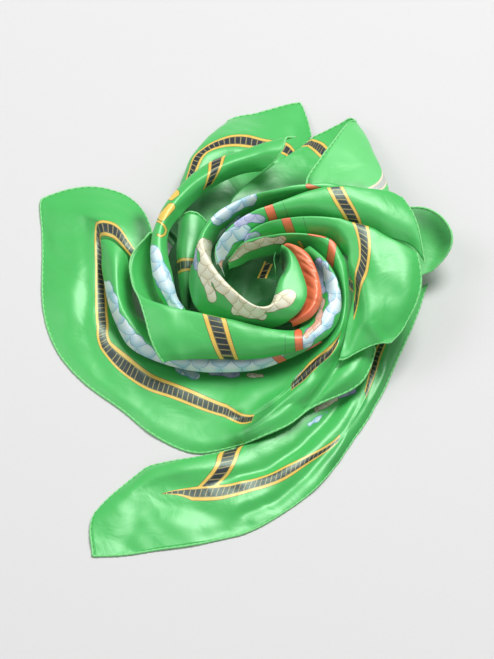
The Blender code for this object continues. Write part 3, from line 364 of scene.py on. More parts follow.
# Tail: the front corner, drawn out and wrapped round the right side of the heap.
TAIL_COLUMNS = ("hem", "border", "stripe_out", "stripe_in", "dip", "rise", "edge", "under")
TAIL: Table = (
    ((96, 554, 1), (94, 547, 1), (93, 540, 2), (92, 533, 2),
     (92, 526, 3), (93, 519, 3), (96, 512, 2), (100, 508, 1)),
    ((127, 553, 1), (125, 541, 4), (123, 530, 5), (121, 520, 5),
     (119, 511, 6), (118, 503, 6), (117, 497, 4), (117, 492, 1)),
    ((155, 548, 1), (153, 527, 5), (150, 507, 8), (148, 497, 8),
     (146, 488, 9), (145, 480, 11), (145, 473, 9), (147, 468, 3)),
    ((188, 544, 1), (185, 520, 6), (182, 499, 9), (184, 487, 10),
     (182, 479, 13), (181, 471, 16), (180, 464, 13), (182, 462, 6)),
    ((223, 537, 1), (219, 517, 6), (216, 500, 9), (221, 484, 10),
     (220, 475, 14), (219, 465, 16), (216, 457, 12), (218, 456, 6)),
    ((250, 530, 1), (250, 510, 6), (251, 491, 9), (256, 478, 9),
     (253, 468, 11), (248, 457, 13), (243, 449, 10), (244, 447, 5)),
    ((285, 510, 1), (284, 494, 6), (284, 480, 9), (286, 466, 9),
     (284, 455, 9), (275, 446, 12), (268, 438, 11), (266, 434, 6)),
    ((312, 490, 1), (312, 473, 7), (313, 459, 9), (316, 451, 9),
     (312, 438, 9), (302, 427, 11), (293, 419, 11), (289, 414, 6)),
    ((334, 466, 1), (336, 452, 7), (338, 441, 9), (340, 433, 9),
     (335, 421, 9), (325, 411, 11), (316, 404, 10), (311, 399, 6)),
    ((352, 440, 1), (352, 429, 7), (353, 419, 10), (354, 410, 9),
     (349, 399, 9), (340, 392, 10), (332, 386, 10), (327, 381, 6)),
    ((366, 420, 1), (366, 409, 8), (365, 399, 11), (364, 390, 10),
     (360, 380, 9), (352, 374, 9), (344, 368, 8), (339, 363, 5)),
    ((385, 386, 2), (383, 377, 9), (377, 368, 12), (370, 365, 10),
     (364, 360, 9), (357, 356, 8), (350, 352, 6), (345, 348, 4)),
    ((405, 342, 2), (397, 343, 9), (385, 346, 13), (377, 344, 12),
     (370, 341, 9), (362, 338, 7), (354, 335, 5), (349, 332, 3)),
    ((420, 307, 3), (411, 311, 10), (401, 315, 13), (392, 317, 12),
     (384, 317, 9), (376, 316, 7), (368, 314, 5), (362, 312, 3)),
    ((428, 284, 4), (420, 289, 9), (411, 294, 12), (402, 297, 11),
     (394, 298, 9), (386, 298, 7), (378, 297, 5), (372, 296, 3)),
)

# The heap of hidden layers, ring by ring from its flat base to the bottom of the hollow.
HEAP_COLUMNS = ("height", "half_across", "half_deep", "sideways", "backwards", "to_hollow")
HEAP_RINGS = (
    (0, 94, 101, -6, 14, 0),
    (3, 97, 104, -6, 14, 0),
    (6, 97, 104, -6, 14, 0),
    (7, 94, 100, -4, 13, 0),
    (9, 96, 101, -3, 13, 0),
    (12, 95, 94, 0, 11, 0),
    (13, 90, 84, 0, 8, 0),
    (15, 92, 84, 0, 8, 0),
    (18, 91, 90, 3, 8, 0),
    (20, 84, 86, 8, 8, 0),
    (22, 84, 90, 9, 8, 0),
    (26, 82, 89, 9, 8, 0),
    (27, 77, 84, 10, 8, 0),
    (30, 77, 81, 10, 8, 0),
    (33, 75, 76, 9, 8, 0),
    (34, 70, 73, 5, 8, 0),
    (37, 66, 70, 0, 8, 0),
    (40, 60, 66, 0, 8, 0),
    (42, 52, 58, 0, 5, 0.2),
    (41, 38, 40, 0, 0, 0.6),
    (37, 31, 34, 0, 0, 0.9),
    (32, 27, 31, 0, 0, 1),
    (26, 20, 23, 0, 0, 1),
    (20, 10, 12, 0, 0, 1),
)

# Rows that only the shells have, where a stretch runs on under its neighbours.
APRON_END: Table = (
    ((240, 260, 42), (240, 256, 50), (239, 252, 58), (238, 248, 66),
     (238, 248, 70), (238, 252, 64), (238, 259, 55), (240, 265, 46)),
    ((229, 268, 50), (229, 266, 52), (228, 264, 55), (228, 262, 57),
     (228, 261, 60), (228, 263, 57), (229, 266, 54), (229, 269, 50)),
)
UPPER_ROLL_START: Table = (
    ((216, 265, 66), (218, 263, 71), (221, 267, 65), (223, 272, 57), (225, 277, 49)),
)
RIGHT_LEAF_START: Table = (
    ((243, 249, 60), (243, 247, 64), (243, 249, 61), (244, 250, 58),
     (244, 252, 55), (244, 254, 52), (245, 256, 49)),
)
RIBBON_END: Table = (
    ((180, 316, 35), (173, 315, 37), (178, 313, 41), (183, 312, 43), (187, 311, 40), (189, 314, 36)),
)
SMALL_LEAF_END: Table = (
    ((186, 320, 8), (188, 319, 10), (190, 318, 12), (192, 319, 10), (194, 320, 8)),
)
BACK_LEAF_START: Table = (
    ((180, 252, 2), (168, 242, 6), (162, 228, 10), (163, 226, 12),
     (168, 230, 12), (176, 238, 10), (184, 246, 8), (192, 252, 6)),
    ((188, 222, 2), (180, 214, 8), (174, 206, 16), (176, 207, 22),
     (184, 210, 22), (192, 216, 18), (200, 222, 14), (208, 228, 12)),
)


def place(table: Table | Grid) -> Grid:
    """Turns table entries in mm into points in mm of the row frame.

    A point's depth is the rise on the sight plane less height times the cosine of the sight
    angle, divided by its sine.

    Args:
        table: Array or nested tuples that end in across, down, height.

    Returns:
        Array of the same shape that ends in x, y, z.
    """
    across, down, height = np.moveaxis(np.asarray(table, float), -1, 0)
    rise = CENTRE_DOWN - down
    deep = (rise - height * math.cos(SIGHT_ANGLE)) / math.sin(SIGHT_ANGLE)
    return np.stack([across - CENTRE_ACROSS, deep, height], -1)


def sight(points: Grid) -> Grid:
    """Turns points in mm into (across, down) in mm on the sight plane: the inverse of place().

    Args:
        points: Array that ends in x, y, z.

    Returns:
        Array that ends in across, down.
    """
    rise = points[..., 1] * math.sin(SIGHT_ANGLE) + points[..., 2] * math.cos(SIGHT_ANGLE)
    return np.stack([points[..., 0] + CENTRE_ACROSS, CENTRE_DOWN - rise], -1)


def smooth(points: Grid, steps: int) -> Grid:
    """Runs a smooth curve through the first axis of an array.

    Between two entries it is the cubic that leaves and meets each with half the step between
    the entries on either side, so neighbouring spans share a direction.

    Args:
        points: Array whose first axis is the curve's.
        steps: Spans per entry.

    Returns:
        Array with (entries - 1) * steps + 1 points on its first axis.
    """
    ends = [2 * points[:1] - points[1:2], points, 2 * points[-1:] - points[-2:-1]]
    knots = np.concatenate(ends)
    at = np.arange((len(points) - 1) * steps + 1) / steps
    span = np.minimum(at.astype(int), len(points) - 2)
    t = (at - span).reshape(-1, *[1] * (points.ndim - 1))
    a, b, c, d = (knots[span + k] for k in range(4))
    bend = (2 * a - 5 * b + 4 * c - d) * t**2 + (3 * b - a - 3 * c + d) * t**3
    return b + 0.5 * ((c - a) * t + bend)


def relax(grid: Grid, rounds: int) -> Grid:
    """Softens an array along its first axis: each round, a point moves to a quarter of each
    neighbour plus half of itself, and the two ends stay.

    Args:
        grid: Array whose first axis is softened.
        rounds: How many times.

    Returns:
        The softened array.
    """
    for _ in range(rounds):
        inner = 0.25 * (grid[:-2] + grid[2:]) + 0.5 * grid[1:-1]
        grid = np.concatenate([grid[:1], inner, grid[-1:]])
    return grid


def unit(vectors: Grid) -> Grid:
    """Vectors along the last axis, each divided by its length."""
    return vectors / np.maximum(np.linalg.norm(vectors, axis=-1, keepdims=True), 1e-9)


def normals_of(grid: Grid) -> Grid:
    """Unit normals of a grid of points: the cross product of its two directions."""
    return unit(np.cross(np.gradient(grid, axis=0), np.gradient(grid, axis=1)))


def run_of(grid: Grid, axis: int) -> Grid:
    """Distance of each grid point from the first one along an axis: the summed steps."""
    first = np.take(grid, [0], axis)
    return np.linalg.norm(np.diff(grid, axis=axis, prepend=first), axis=-1).cumsum(axis)


def nearness(places: Grid, path: Path, width: float) -> Grid:
    """How near places are to a path: 1 on it, falling as the bell curve of distance by width."""
    away = distance_to_path(places, path) / width
    return np.exp(-away * away)


def distance_to_path(places: Grid, path: Path) -> Grid:
    """Distance from each place to a path of straight legs: the least distance to any leg.

    Args:
        places: Array that ends in across, down.
        path: Two or more (across, down) points.

    Returns:
        Array of distances in mm.
    """
    start = np.asarray(path[:-1], float)
    leg = np.asarray(path[1:], float) - start
    to_place = places[..., None, :] - start
    share = np.clip((to_place * leg).sum(-1) / (leg * leg).sum(-1), 0.0, 1.0)
    return np.linalg.norm(to_place - share[..., None] * leg, axis=-1).min(-1)


def waver(grid: Grid, ripple: float, swell: float) -> Grid:
    """Slow swells and small ripples of the cloth, as a height over each grid point.

    Each is a product of two sine waves that bend one another: wide ones a few centimetres
    apart times the swell, and two finer sets times the ripple and half the ripple.

    Args:
        grid: Points in mm.
        ripple: Height of the finer waves in mm.
        swell: Height of the wide waves in mm.

    Returns:
        Height for each point in mm.
    """
    x, y, z = np.moveaxis(grid, -1, 0)
    sin = np.sin
    fine = sin(x / 9.0 + 0.6 * sin(y / 14.0)) * sin(y / 11.0 + z / 7.0)
    wide = sin(x / 17.0 + 0.8 * sin(y / 33.0)) * sin(y / 24.0 + 0.7 * sin(x / 29.0))
    slanting = sin((x + y) / 5.0 + sin(x / 17.0)) * sin((x - y) / 23.0 + z / 5.0)
    return ripple * fine + swell * wide + 0.5 * ripple * slanting


class Side(Enum):
    """The two sides of the cloth."""

    PRINT = 0.0
    REVERSE = 1.0


class Edge(Enum):
    """An edge of a stretch's grid, for a hem."""

    FIRST_COLUMN = "first column"
    LAST_COLUMN = "last column"
    FIRST_ROW = "first row"
    LAST_ROW = "last row"


class Ink(Enum):
    """Inks of the printed design, in the order in which they are laid."""

    SKY = "sky"
    LILAC = "lilac"
    CREAM = "cream"
    PEACH = "peach"
    GOLD = "gold"
    ORANGE = "orange"
    LINE = "line"


SKY, LILAC, CREAM, PEACH, GOLD, ORANGE, LINE = Ink


@dataclass(frozen=True)
class InkLook:
    """Colours of one ink: its light and deep tint and the contour round it. Its scales are the
    size of the scales printed in it, in units of the finish's scale size, or 0 for plain ink."""

    light: Colour
    deep: Colour
    contour: Colour
    scales: float = 0.0


INK_LOOKS: dict[Ink, InkLook] = {
    SKY: InkLook((0.76, 0.89, 0.93), (0.27, 0.58, 0.78), (0.10, 0.26, 0.45), 4.5),
    LILAC: InkLook((0.62, 0.64, 0.88), (0.36, 0.38, 0.74), (0.12, 0.12, 0.36), 3.0),
    CREAM: InkLook((0.90, 0.87, 0.70), (0.72, 0.62, 0.38), (0.14, 0.10, 0.05), 3.2),
    PEACH: InkLook((0.93, 0.66, 0.54), (0.86, 0.42, 0.28), (0.30, 0.10, 0.06), 3.0),
    GOLD: InkLook((0.90, 0.66, 0.12), (0.80, 0.50, 0.06), (0.16, 0.10, 0.02)),
    ORANGE: InkLook((0.88, 0.22, 0.09), (0.78, 0.10, 0.035), (0.20, 0.03, 0.02)),
    LINE: InkLook((0.02, 0.07, 0.03), (0.02, 0.07, 0.03), (0.02, 0.07, 0.03)),
}


@dataclass(frozen=True)
class Blot:
    """A stroke of one ink along a path of (across, down) points, in mm."""

    ink: Ink
    path: Path
    half: float


@dataclass(frozen=True)
class Band:
    """The ladder stripe on one stretch. Each knot is (position, low, high).

    Along the rows, a position is a row number, and low and high are column numbers. A crossing
    band has them the other way round.
    """

    knots: tuple[Entry, ...]
    crossing: bool = False


@dataclass(frozen=True)
class Crease:
    """A soft ridge, or a trough where height is negative, along a path on the sight plane."""

    path: Path
    height: float
    width: float


@dataclass(frozen=True)
class Shade:
    """Painted shade: where cloth lies deep between other stretches, its colour is darkened along a path."""

    path: Path
    width: float
    strength: float = 0.8


@dataclass(frozen=True)
class Hem:
    """A rolled hem on one edge of a stretch, from one row or column number to another."""

    edge: Edge
    start: float
    end: float


@dataclass(frozen=True)
class Corner:
    """A sharp corner: the place at a row number and a named column is drawn out to a tip, and
    its neighbours follow within a reach given in rows."""

    row: float
    column: str
    tip: Entry
    reach: float = 0.35


class Nodes:
    """Short helpers to lay out a shader node tree."""

    def __init__(self, tree: Tree) -> None:
        """Keeps the tree that nodes are added to."""
        self.tree = tree

    def add(self, kind: str, **settings: object) -> Node:
        """Adds one node and sets its properties.

        Args:
            kind: Blender's name for the node type, without the leading ShaderNode.
            **settings: Properties of the node.

        Returns:
            The node.
        """
        node = self.tree.nodes.new(f"ShaderNode{kind}")
        for key, value in settings.items():
            setattr(node, key, value)
        return node

    def feed(self, socket: Socket, value: object) -> None:
        """Links a socket to another node's output, or sets its value.

        Args:
            socket: The input.
            value: An output socket or a constant.
        """
        if isinstance(value, Socket):
            self.tree.links.new(value, socket)
        else:
            socket.default_value = value

    def feed_all(self, node: Node, **values: object) -> Node:
        """Feeds a node's inputs by name.

        Args:
            node: The node.
            **values: Inputs, with spaces in their names written as underscores.

        Returns:
            The same node.
        """
        for name, value in values.items():
            self.feed(node.inputs[name.replace("_", " ")], value)
        return node

    def maths(self, operation: str, *values: object, clamp: bool = False) -> Socket:
        """A Math node.

        Args:
            operation: Its operation.
            *values: Up to three inputs.
            clamp: Whether the result is kept within 0 and 1.

        Returns:
            Its output.
        """
        node = self.add("Math", operation=operation, use_clamp=clamp)
        for socket, value in zip(node.inputs, values):
            self.feed(socket, value)
        return node.outputs[0]

    def times(self, first: object, second: object, clamp: bool = False) -> Socket:
        """One number times another."""
        return self.maths("MULTIPLY", first, second, clamp=clamp)

    def vector(self, operation: str, *values: object, out: str = "Vector") -> Socket:
        """A Vector Math node.

        Args:
            operation: Its operation.
            *values: Up to three inputs.
            out: Name of the output that is wanted.

        Returns:
            That output.
        """
        node = self.add("VectorMath", operation=operation)
        for socket, value in zip(node.inputs, values):
            self.feed(socket, value)
        return node.outputs[out]

    def scaled(self, value: object, factor: object) -> Socket:
        """A vector times a number."""
        node = self.feed_all(self.add("VectorMath", operation="SCALE"), Vector=value, Scale=factor)
        return node.outputs[0]

    def mix(self, factor: object, first: object, second: object) -> Socket:
        """A colour mix: first at factor 0, second at factor 1.

        Args:
            factor: Share of the second colour.
            first: Colour or socket.
            second: Colour or socket.

        Returns:
            The mixed colour.
        """
        node = self.add("Mix", data_type="RGBA")
        self.feed(node.inputs[0], factor)
        for socket, value in ((node.inputs[6], first), (node.inputs[7], second)):
            self.feed(socket, (*value, 1.0) if isinstance(value, tuple) else value)
        return node.outputs[2]

    def object_place(self) -> Socket:
        """Object coordinates."""
        return self.add("TexCoord").outputs["Object"]

    def uv(self, name: str) -> Socket:
        """The UV map of that name."""
        return self.add("UVMap", uv_map=name).outputs["UV"]

    def attribute(self, name: str) -> Socket:
        """The mesh's number of that name."""
        return self.add("Attribute", attribute_name=name).outputs["Fac"]

    def noise(self, place_at: Socket, **values: float) -> Node:
        """A noise texture at a place, with its inputs by name."""
        return self.feed_all(self.add("TexNoise"), Vector=place_at, **values)

    def bump(self, height: Socket, strength: float, distance: float, **over: Socket) -> Socket:
        """The normal of a bump of that height, laid over another Normal where one is given."""
        node = self.feed_all(self.add("Bump"), Strength=strength, Distance=distance, Height=height, **over)
        return node.outputs["Normal"]

    def group(self, tree: Tree, **values: object) -> Node:
        """Places a node group and feeds its inputs by name."""
        return self.feed_all(self.add("Group", node_tree=tree), **values)


def new_material(name: str) -> tuple[Material, Nodes, Node]:
    """Starts a material.

    Args:
        name: Its name.

    Returns:
        The material, the helper for its nodes, and its shader node.
    """
    made = bpy.data.materials.new(name)
    made.use_nodes = True
    return made, Nodes(made.node_tree), made.node_tree.nodes["Principled BSDF"]


@dataclass
class PrintShop:
    """Shader node groups that several finishes share, each built once.

    A reach, or the place of a line, is a share of the stripe's half width. A block's half length
    is a share of the block's spacing, which is in metres, and a pitch is waves to the metre.
    """

    unevenness: float = 0.012
    unevenness_pitch: float = 45.0
    scale_outline: float = 0.022
    block_spacing: float = 0.0056
    block_half_length: float = 0.41
    block_reach: float = 0.47
    block_raggedness: float = 0.07
    block_colour: Colour = (0.008, 0.007, 0.022)
    rung_reach: float = 0.53
    rung_colour: Colour = (0.34, 0.27, 0.11)
    rail_colours: tuple[Colour, Colour] = ((0.86, 0.57, 0.10), (0.80, 0.50, 0.075))
    rail_line: Colour = (0.10, 0.08, 0.03)
    rail_line_at: float = 0.555
    rail_line_half: float = 0.03
    rim_line: Colour = (0.10, 0.13, 0.03)
    rim_line_at: float = 0.985
    rim_line_half: float = 0.035
    rib_pitch: float = 0.32
    rib_waver: float = 0.6
    thread_pitch: float = 0.9

    def __post_init__(self) -> None:
        """Builds the groups."""
        self.stroke = self._stroke()
        self.scales = self._scales()
        self.ladder = self._ladder()
        self.weave = self._weave()

    @staticmethod
    def _new(name: str, takes: dict[str, str], gives: dict[str, str]) -> tuple[Nodes, dict, Node]:
        """Starts a group.

        Args:
            name: The group's name.
            takes: Input names and their kinds.
            gives: Output names and their kinds.

        Returns:
            Its helper, its input sockets by name, and its output node.
        """
        tree = bpy.data.node_groups.new(name, "ShaderNodeTree")
        for in_out, sockets in (("INPUT", takes), ("OUTPUT", gives)):
            for socket, kind in sockets.items():
                tree.interface.new_socket(socket, in_out=in_out, socket_type=f"NodeSocket{kind}")
        entry, leave = (tree.nodes.new(f"NodeGroup{kind}") for kind in ("Input", "Output"))
        return Nodes(tree), {socket.name: socket for socket in entry.outputs if socket.name}, leave

    def _stroke(self) -> Tree:
        """Depth inside a round-ended stroke: its half width less the distance to its leg.

        Returns:
            The group.
        """
        takes = {"Place": "Vector", "Start": "Vector", "End": "Vector", "Half": "Float"}
        nodes, given, leave = self._new("print_stroke", takes, {"Depth": "Float"})
        leg = nodes.vector("SUBTRACT", given["End"], given["Start"])
        reach = nodes.vector("SUBTRACT", given["Place"], given["Start"])
        along = nodes.vector("DOT_PRODUCT", reach, leg, out="Value")
        square = nodes.vector("DOT_PRODUCT", leg, leg, out="Value")
        share = nodes.maths("DIVIDE", along, square, clamp=True)
        away = nodes.vector("SUBTRACT", reach, nodes.scaled(leg, share))
        length = nodes.vector("LENGTH", away, out="Value")
        nodes.feed_all(leave, Depth=nodes.maths("SUBTRACT", given["Half"], length))
        return nodes.tree

    def _scales(self) -> Tree:
        """Overlapping round scales, as on a pine cone, a little uneven.

        Rows of circles are half a size apart, and every other row is shifted by half a size. A
        spot's distance is measured from the middle of its circle's foot, in sizes: the scale's
        rim is where that is a half.

        Returns:
            The group.
        """
        gives = {"Away": "Float", "Contour": "Float", "Tint": "Float"}
        nodes, given, leave = self._new("print_scales", {"Place": "Vector", "Size": "Float"}, gives)
        uneven = nodes.noise(given["Place"], Scale=self.unevenness_pitch)
        push = (self.unevenness, self.unevenness, 0.0)
        spot = nodes.vector("MULTIPLY_ADD", uneven.outputs["Color"], push, given["Place"])
        split = nodes.add("SeparateXYZ")
        nodes.feed(split.inputs[0], nodes.scaled(spot, nodes.maths("DIVIDE", 1.0, given["Size"])))
        climb = nodes.times(split.outputs[1], 2.0)
        odd = nodes.maths("FRACT", nodes.times(nodes.maths("FLOOR", climb), 0.5))
        sideways = nodes.maths("FRACT", nodes.maths("ADD", split.outputs[0], odd))
        aside = nodes.maths("SUBTRACT", sideways, 0.5)
        up = nodes.times(nodes.maths("FRACT", climb), 0.5)
        reach = nodes.maths("SQRT", nodes.maths("ADD", nodes.times(aside, aside), nodes.times(up, up)))
        inside = nodes.maths("LESS_THAN", reach, 0.5)
        outline = nodes.maths("COMPARE", reach, 0.5, self.scale_outline)
        away = nodes.times(nodes.times(reach, 2.0), inside)
        nodes.feed_all(leave, Away=away, Contour=outline, Tint=uneven.outputs["Fac"])
        return nodes.tree

    def _ladder(self) -> Tree:
        """The ladder stripe: golden rails, a row of dark blocks with thin gaps, and fine
        contours. Across is 0 in its middle and 1 at its edge, run is metres along it.

        Returns:
            The group.
        """
        gives = {"Colour": "Color", "Inside": "Float"}
        nodes, given, leave = self._new("ladder_stripe", {"Across": "Float", "Run": "Float"}, gives)
        across = given["Across"]
        beat = nodes.maths("DIVIDE", given["Run"], self.block_spacing)
        chance = nodes.add("TexWhiteNoise", noise_dimensions="1D")
        nodes.feed(chance.inputs["W"], nodes.maths("FLOOR", beat))
        ragged = nodes.times(chance.outputs["Value"], self.block_raggedness)
        reach = nodes.maths("ADD", ragged, self.block_reach)
        off = nodes.maths("ABSOLUTE", nodes.maths("SUBTRACT", nodes.maths("FRACT", beat), 0.5))
        in_length = nodes.maths("LESS_THAN", off, self.block_half_length)
        block = nodes.times(nodes.maths("LESS_THAN", across, reach), in_length)
        gold = nodes.mix(chance.outputs["Value"], *self.rail_colours)
        rung = nodes.mix(nodes.maths("LESS_THAN", across, self.rung_reach), gold, self.rung_colour)
        rail = nodes.maths("COMPARE", across, self.rail_line_at, self.rail_line_half)
        blocks = nodes.mix(block, nodes.mix(rail, rung, self.rail_line), self.block_colour)
        rim = nodes.maths("COMPARE", across, self.rim_line_at, self.rim_line_half)
        edge = self.rim_line_at + self.rim_line_half
        inside = nodes.maths("LESS_THAN", across, edge)
        nodes.feed_all(leave, Colour=nodes.mix(rim, blocks, self.rim_line), Inside=inside)
        return nodes.tree

    def _weave(self) -> Tree:
        """Fine diagonal ribs of the twill, broken up by small uneven threads, as a height.

        Returns:
            The group.
        """
        gives = {"Height": "Float", "Fleck": "Float"}
        nodes, given, leave = self._new("twill_weave", {"Place": "Vector", "Spacing": "Float"}, gives)
        spot = nodes.scaled(given["Place"], nodes.maths("DIVIDE", 1.0, given["Spacing"]))
        ribs = nodes.add("TexWave", wave_type="BANDS", bands_direction="DIAGONAL")
        nodes.feed_all(ribs, Vector=spot, Scale=self.rib_pitch, Distortion=self.rib_waver)
        fleck = nodes.noise(spot, Scale=self.thread_pitch, Detail=2.0).outputs["Fac"]
        height = nodes.maths("MULTIPLY_ADD", ribs.outputs["Fac"], 0.6, fleck)
        nodes.feed_all(leave, Height=height, Fleck=fleck)
        return nodes.tree


@dataclass(frozen=True)
class SilkFinish:
    """Satin-faced silk twill with a printed ground.

    Spacings and depths are in metres, a pitch is waves to the metre, and the contour's half
    width and the lobes' depth are in millimetres.
    """

    ground: Colour = (0.066, 0.53, 0.112)
    shade: Colour = (0.045, 0.45, 0.085)
    reverse: Colour = (0.12, 0.60, 0.165)
    # Painted shade: the deep green that cloth lying deep between stretches is darkened towards.
    painted_shade_colour: Colour = (0.004, 0.085, 0.016)
    bleached: Colour = (0.74, 0.76, 0.74)
    bleaching: float = 0.62
    highlight: Colour = (0.72, 1.0, 0.76)
    sheen_tint: Colour = (0.75, 1.0, 0.78)
    roughness: float = 0.42
    roughness_drift: float = 0.14
    sheen: float = 0.12
    coat: float = 0.25
    rib_spacing: float = 0.0007
    rib_depth: float = 0.00006
    wrinkle_pitch: float = 26.0
    wrinkle_depth: float = 0.0022
    scale_size: float = 0.0046
    drift_pitch: float = 9.0
    lobe_pitch: float = 75.0
    lobe_depth: float = 1.1
    streak_pitch: float = 55.0
    wash_pitch: float = 70.0
    print_sharpness: float = 3.0
    contour_half: float = 0.32
    contour_cover: float = 0.8
    outline_cover: float = 0.45

    def material(self, name: str, shop: PrintShop, blots: tuple[Blot, ...]) -> Material:
        """Makes the cloth's material for one stretch.

        The ground colour drifts a little. Blots of ink lie on it, then the ladder stripe. The
        reverse side is a paler green, with the stripe showing through bleached. Painted shade darkens
        the colour towards a deep green where the mesh's shade number is high.

        Args:
            name: The material's name.
            shop: Shared node groups.
            blots: What is printed on this stretch besides the stripe.

        Returns:
            The material.
        """
        made, nodes, shader = new_material(name)
        at = nodes.object_place()
        drift = nodes.noise(at, Scale=self.drift_pitch).outputs["Fac"]
        colour = nodes.mix(drift, self.ground, self.shade)
        if blots:
            colour = self._print(nodes, shop, blots, colour, at)
        stripe = nodes.group(shop.ladder, Across=nodes.attribute("stripe"), Run=nodes.attribute("run"))
        inside = stripe.outputs["Inside"]
        colour = nodes.mix(inside, colour, stripe.outputs["Colour"])
        washed = nodes.mix(inside, self.reverse, nodes.mix(self.bleaching, colour, self.bleached))
        colour = nodes.mix(nodes.attribute("reverse"), colour, washed)
        weave = nodes.group(shop.weave, Place=at, Spacing=self.rib_spacing)
        smoothest = self.roughness - self.roughness_drift / 2
        wrinkle = nodes.noise(at, Scale=self.wrinkle_pitch, Detail=3.0, Distortion=0.9)
        soft = nodes.bump(wrinkle.outputs["Fac"], 0.6, self.wrinkle_depth)
        nodes.feed_all(
            shader,
            # Painted shade: the colour darkens towards the painted shade colour by the mesh's shade number.
            Base_Color=nodes.mix(nodes.attribute("shade"), colour, self.painted_shade_colour),
            Roughness=nodes.maths("MULTIPLY_ADD", weave.outputs["Fleck"], self.roughness_drift, smoothest),
            Normal=nodes.bump(weave.outputs["Height"], 0.35, self.rib_depth, Normal=soft),
            Sheen_Weight=self.sheen, Sheen_Roughness=0.45, Sheen_Tint=(*self.sheen_tint, 1.0),
            Anisotropic=0.4, Specular_IOR_Level=1.0, Specular_Tint=(*self.highlight, 1.0),
            Coat_Weight=self.coat, Coat_Roughness=0.34,
        )
        return made

    def _print(self, nodes: Nodes, shop: PrintShop, blots: tuple[Blot, ...], colour: Socket,
               at: Socket) -> Socket:
        """Lays the inks over a colour, one after another.

        An ink's depth is the greatest of its strokes' depths, less its lobes. It shows where
        that is over 0, with a thin contour where it is close to 0.

        Args:
            nodes: The material's nodes.
            shop: Shared node groups.
            blots: The strokes.
            colour: What they are laid on.
            at: Object coordinates.

        Returns:
            The new colour.
        """
        sight_map = nodes.uv("sight")
        spot = nodes.scaled(sight_map, 1.0 / MM)
        for ink, look in INK_LOOKS.items():
            depth = None
            for blot in (blot for blot in blots if blot.ink is ink):
                for start, end in zip(blot.path[:-1], blot.path[1:]):
                    ends = {"Start": (*start, 0.0), "End": (*end, 0.0)}
                    leg = nodes.group(shop.stroke, Place=spot, Half=blot.half, **ends).outputs["Depth"]
                    depth = leg if depth is None else nodes.maths("MAXIMUM", depth, leg)
            if depth is None:
                continue
            tint: object = look.light
            if look.scales > 0.0:
                edge = nodes.add("TexVoronoi", feature="SMOOTH_F1")
                nodes.feed_all(edge, Vector=at, Scale=self.lobe_pitch, Smoothness=0.25)
                cut = nodes.times(edge.outputs["Distance"], look.scales * self.lobe_depth)
                depth = nodes.maths("SUBTRACT", depth, cut)
                tint = self._scaled_tint(nodes, shop, look, sight_map, at)
            elif ink is not LINE:
                streaks = nodes.noise(at, Scale=self.streak_pitch).outputs["Fac"]
                tint = nodes.mix(streaks, look.light, look.deep)
            colour = nodes.mix(nodes.times(depth, self.print_sharpness, clamp=True), colour, tint)
            if ink is not LINE:
                contour = nodes.maths("COMPARE", depth, 0.1, self.contour_half)
                colour = nodes.mix(nodes.times(contour, self.contour_cover), colour, look.contour)
        return colour

    def _scaled_tint(self, nodes: Nodes, shop: PrintShop, look: InkLook, sight_map: Socket,
                     at: Socket) -> Socket:
        """One ink's scales: light at the foot of each, deeper towards its rim, thinly outlined.

        Args:
            nodes: The material's nodes.
            shop: Shared node groups.
            look: The ink's colours.
            sight_map: The cloth's places on the sight plane, in metres.
            at: Object coordinates.

        Returns:
            The ink's colour.
        """
        scales = nodes.group(shop.scales, Place=sight_map, Size=look.scales * self.scale_size)
        wash = nodes.noise(at, Scale=self.wash_pitch).outputs["Fac"]
        body = nodes.times(nodes.maths("POWER", scales.outputs["Away"], 2.0), wash, clamp=True)
        tint = nodes.mix(nodes.times(body, 2.2, clamp=True), look.light, look.deep)
        tint = nodes.mix(nodes.times(scales.outputs["Tint"], 0.6), tint, look.light)
        outline = nodes.times(scales.outputs["Contour"], self.outline_cover)
        return nodes.mix(outline, tint, look.contour)


@dataclass(frozen=True)
class HemFinish:
    """Hand-rolled hem: the cloth's own green, a little lighter, with small slanting stitches."""

    light: Colour = (0.25, 0.74, 0.26)
    dark: Colour = (0.12, 0.60, 0.17)
    thread: Colour = (0.02, 0.28, 0.06)
    thread_cover: float = 0.6
    stitch_spacing: float = 0.0068
    stitch_share: float = 0.36
    stitch_slant: float = 0.9
    rib_spacing: float = 0.0009

    def material(self, name: str, shop: PrintShop) -> Material:
        """Makes the hem's material. A stitch is a slanting dash on the hem's inner side: it
        shows where the run, less a slant round the roll, is in the first share of a spacing.

        Args:
            name: The material's name.
            shop: Shared node groups.

        Returns:
            The material.
        """
        made, nodes, shader = new_material(name)
        split = nodes.add("SeparateXYZ")
        nodes.feed(split.inputs[0], nodes.uv("hem"))
        run, turn = split.outputs[0], split.outputs[1]
        beat = nodes.maths("DIVIDE", run, self.stitch_spacing)
        slant = nodes.maths("MULTIPLY_ADD", turn, -self.stitch_slant, beat)
        dash = nodes.maths("LESS_THAN", nodes.maths("FRACT", slant), self.stitch_share)
        mark = nodes.times(dash, nodes.maths("COMPARE", turn, 0.5, 0.19))
        weave = nodes.group(shop.weave, Place=nodes.object_place(), Spacing=self.rib_spacing)
        green = nodes.mix(weave.outputs["Fleck"], self.light, self.dark)
        height = nodes.maths("SUBTRACT", nodes.times(weave.outputs["Height"], 0.3), mark)
        nodes.feed_all(
            shader,
            Base_Color=nodes.mix(nodes.times(mark, self.thread_cover), green, self.thread),
            Roughness=nodes.maths("MULTIPLY_ADD", weave.outputs["Fleck"], 0.1, 0.42),
            Normal=nodes.bump(height, 0.5, 0.0003),
            Sheen_Weight=0.3,
        )
        return made


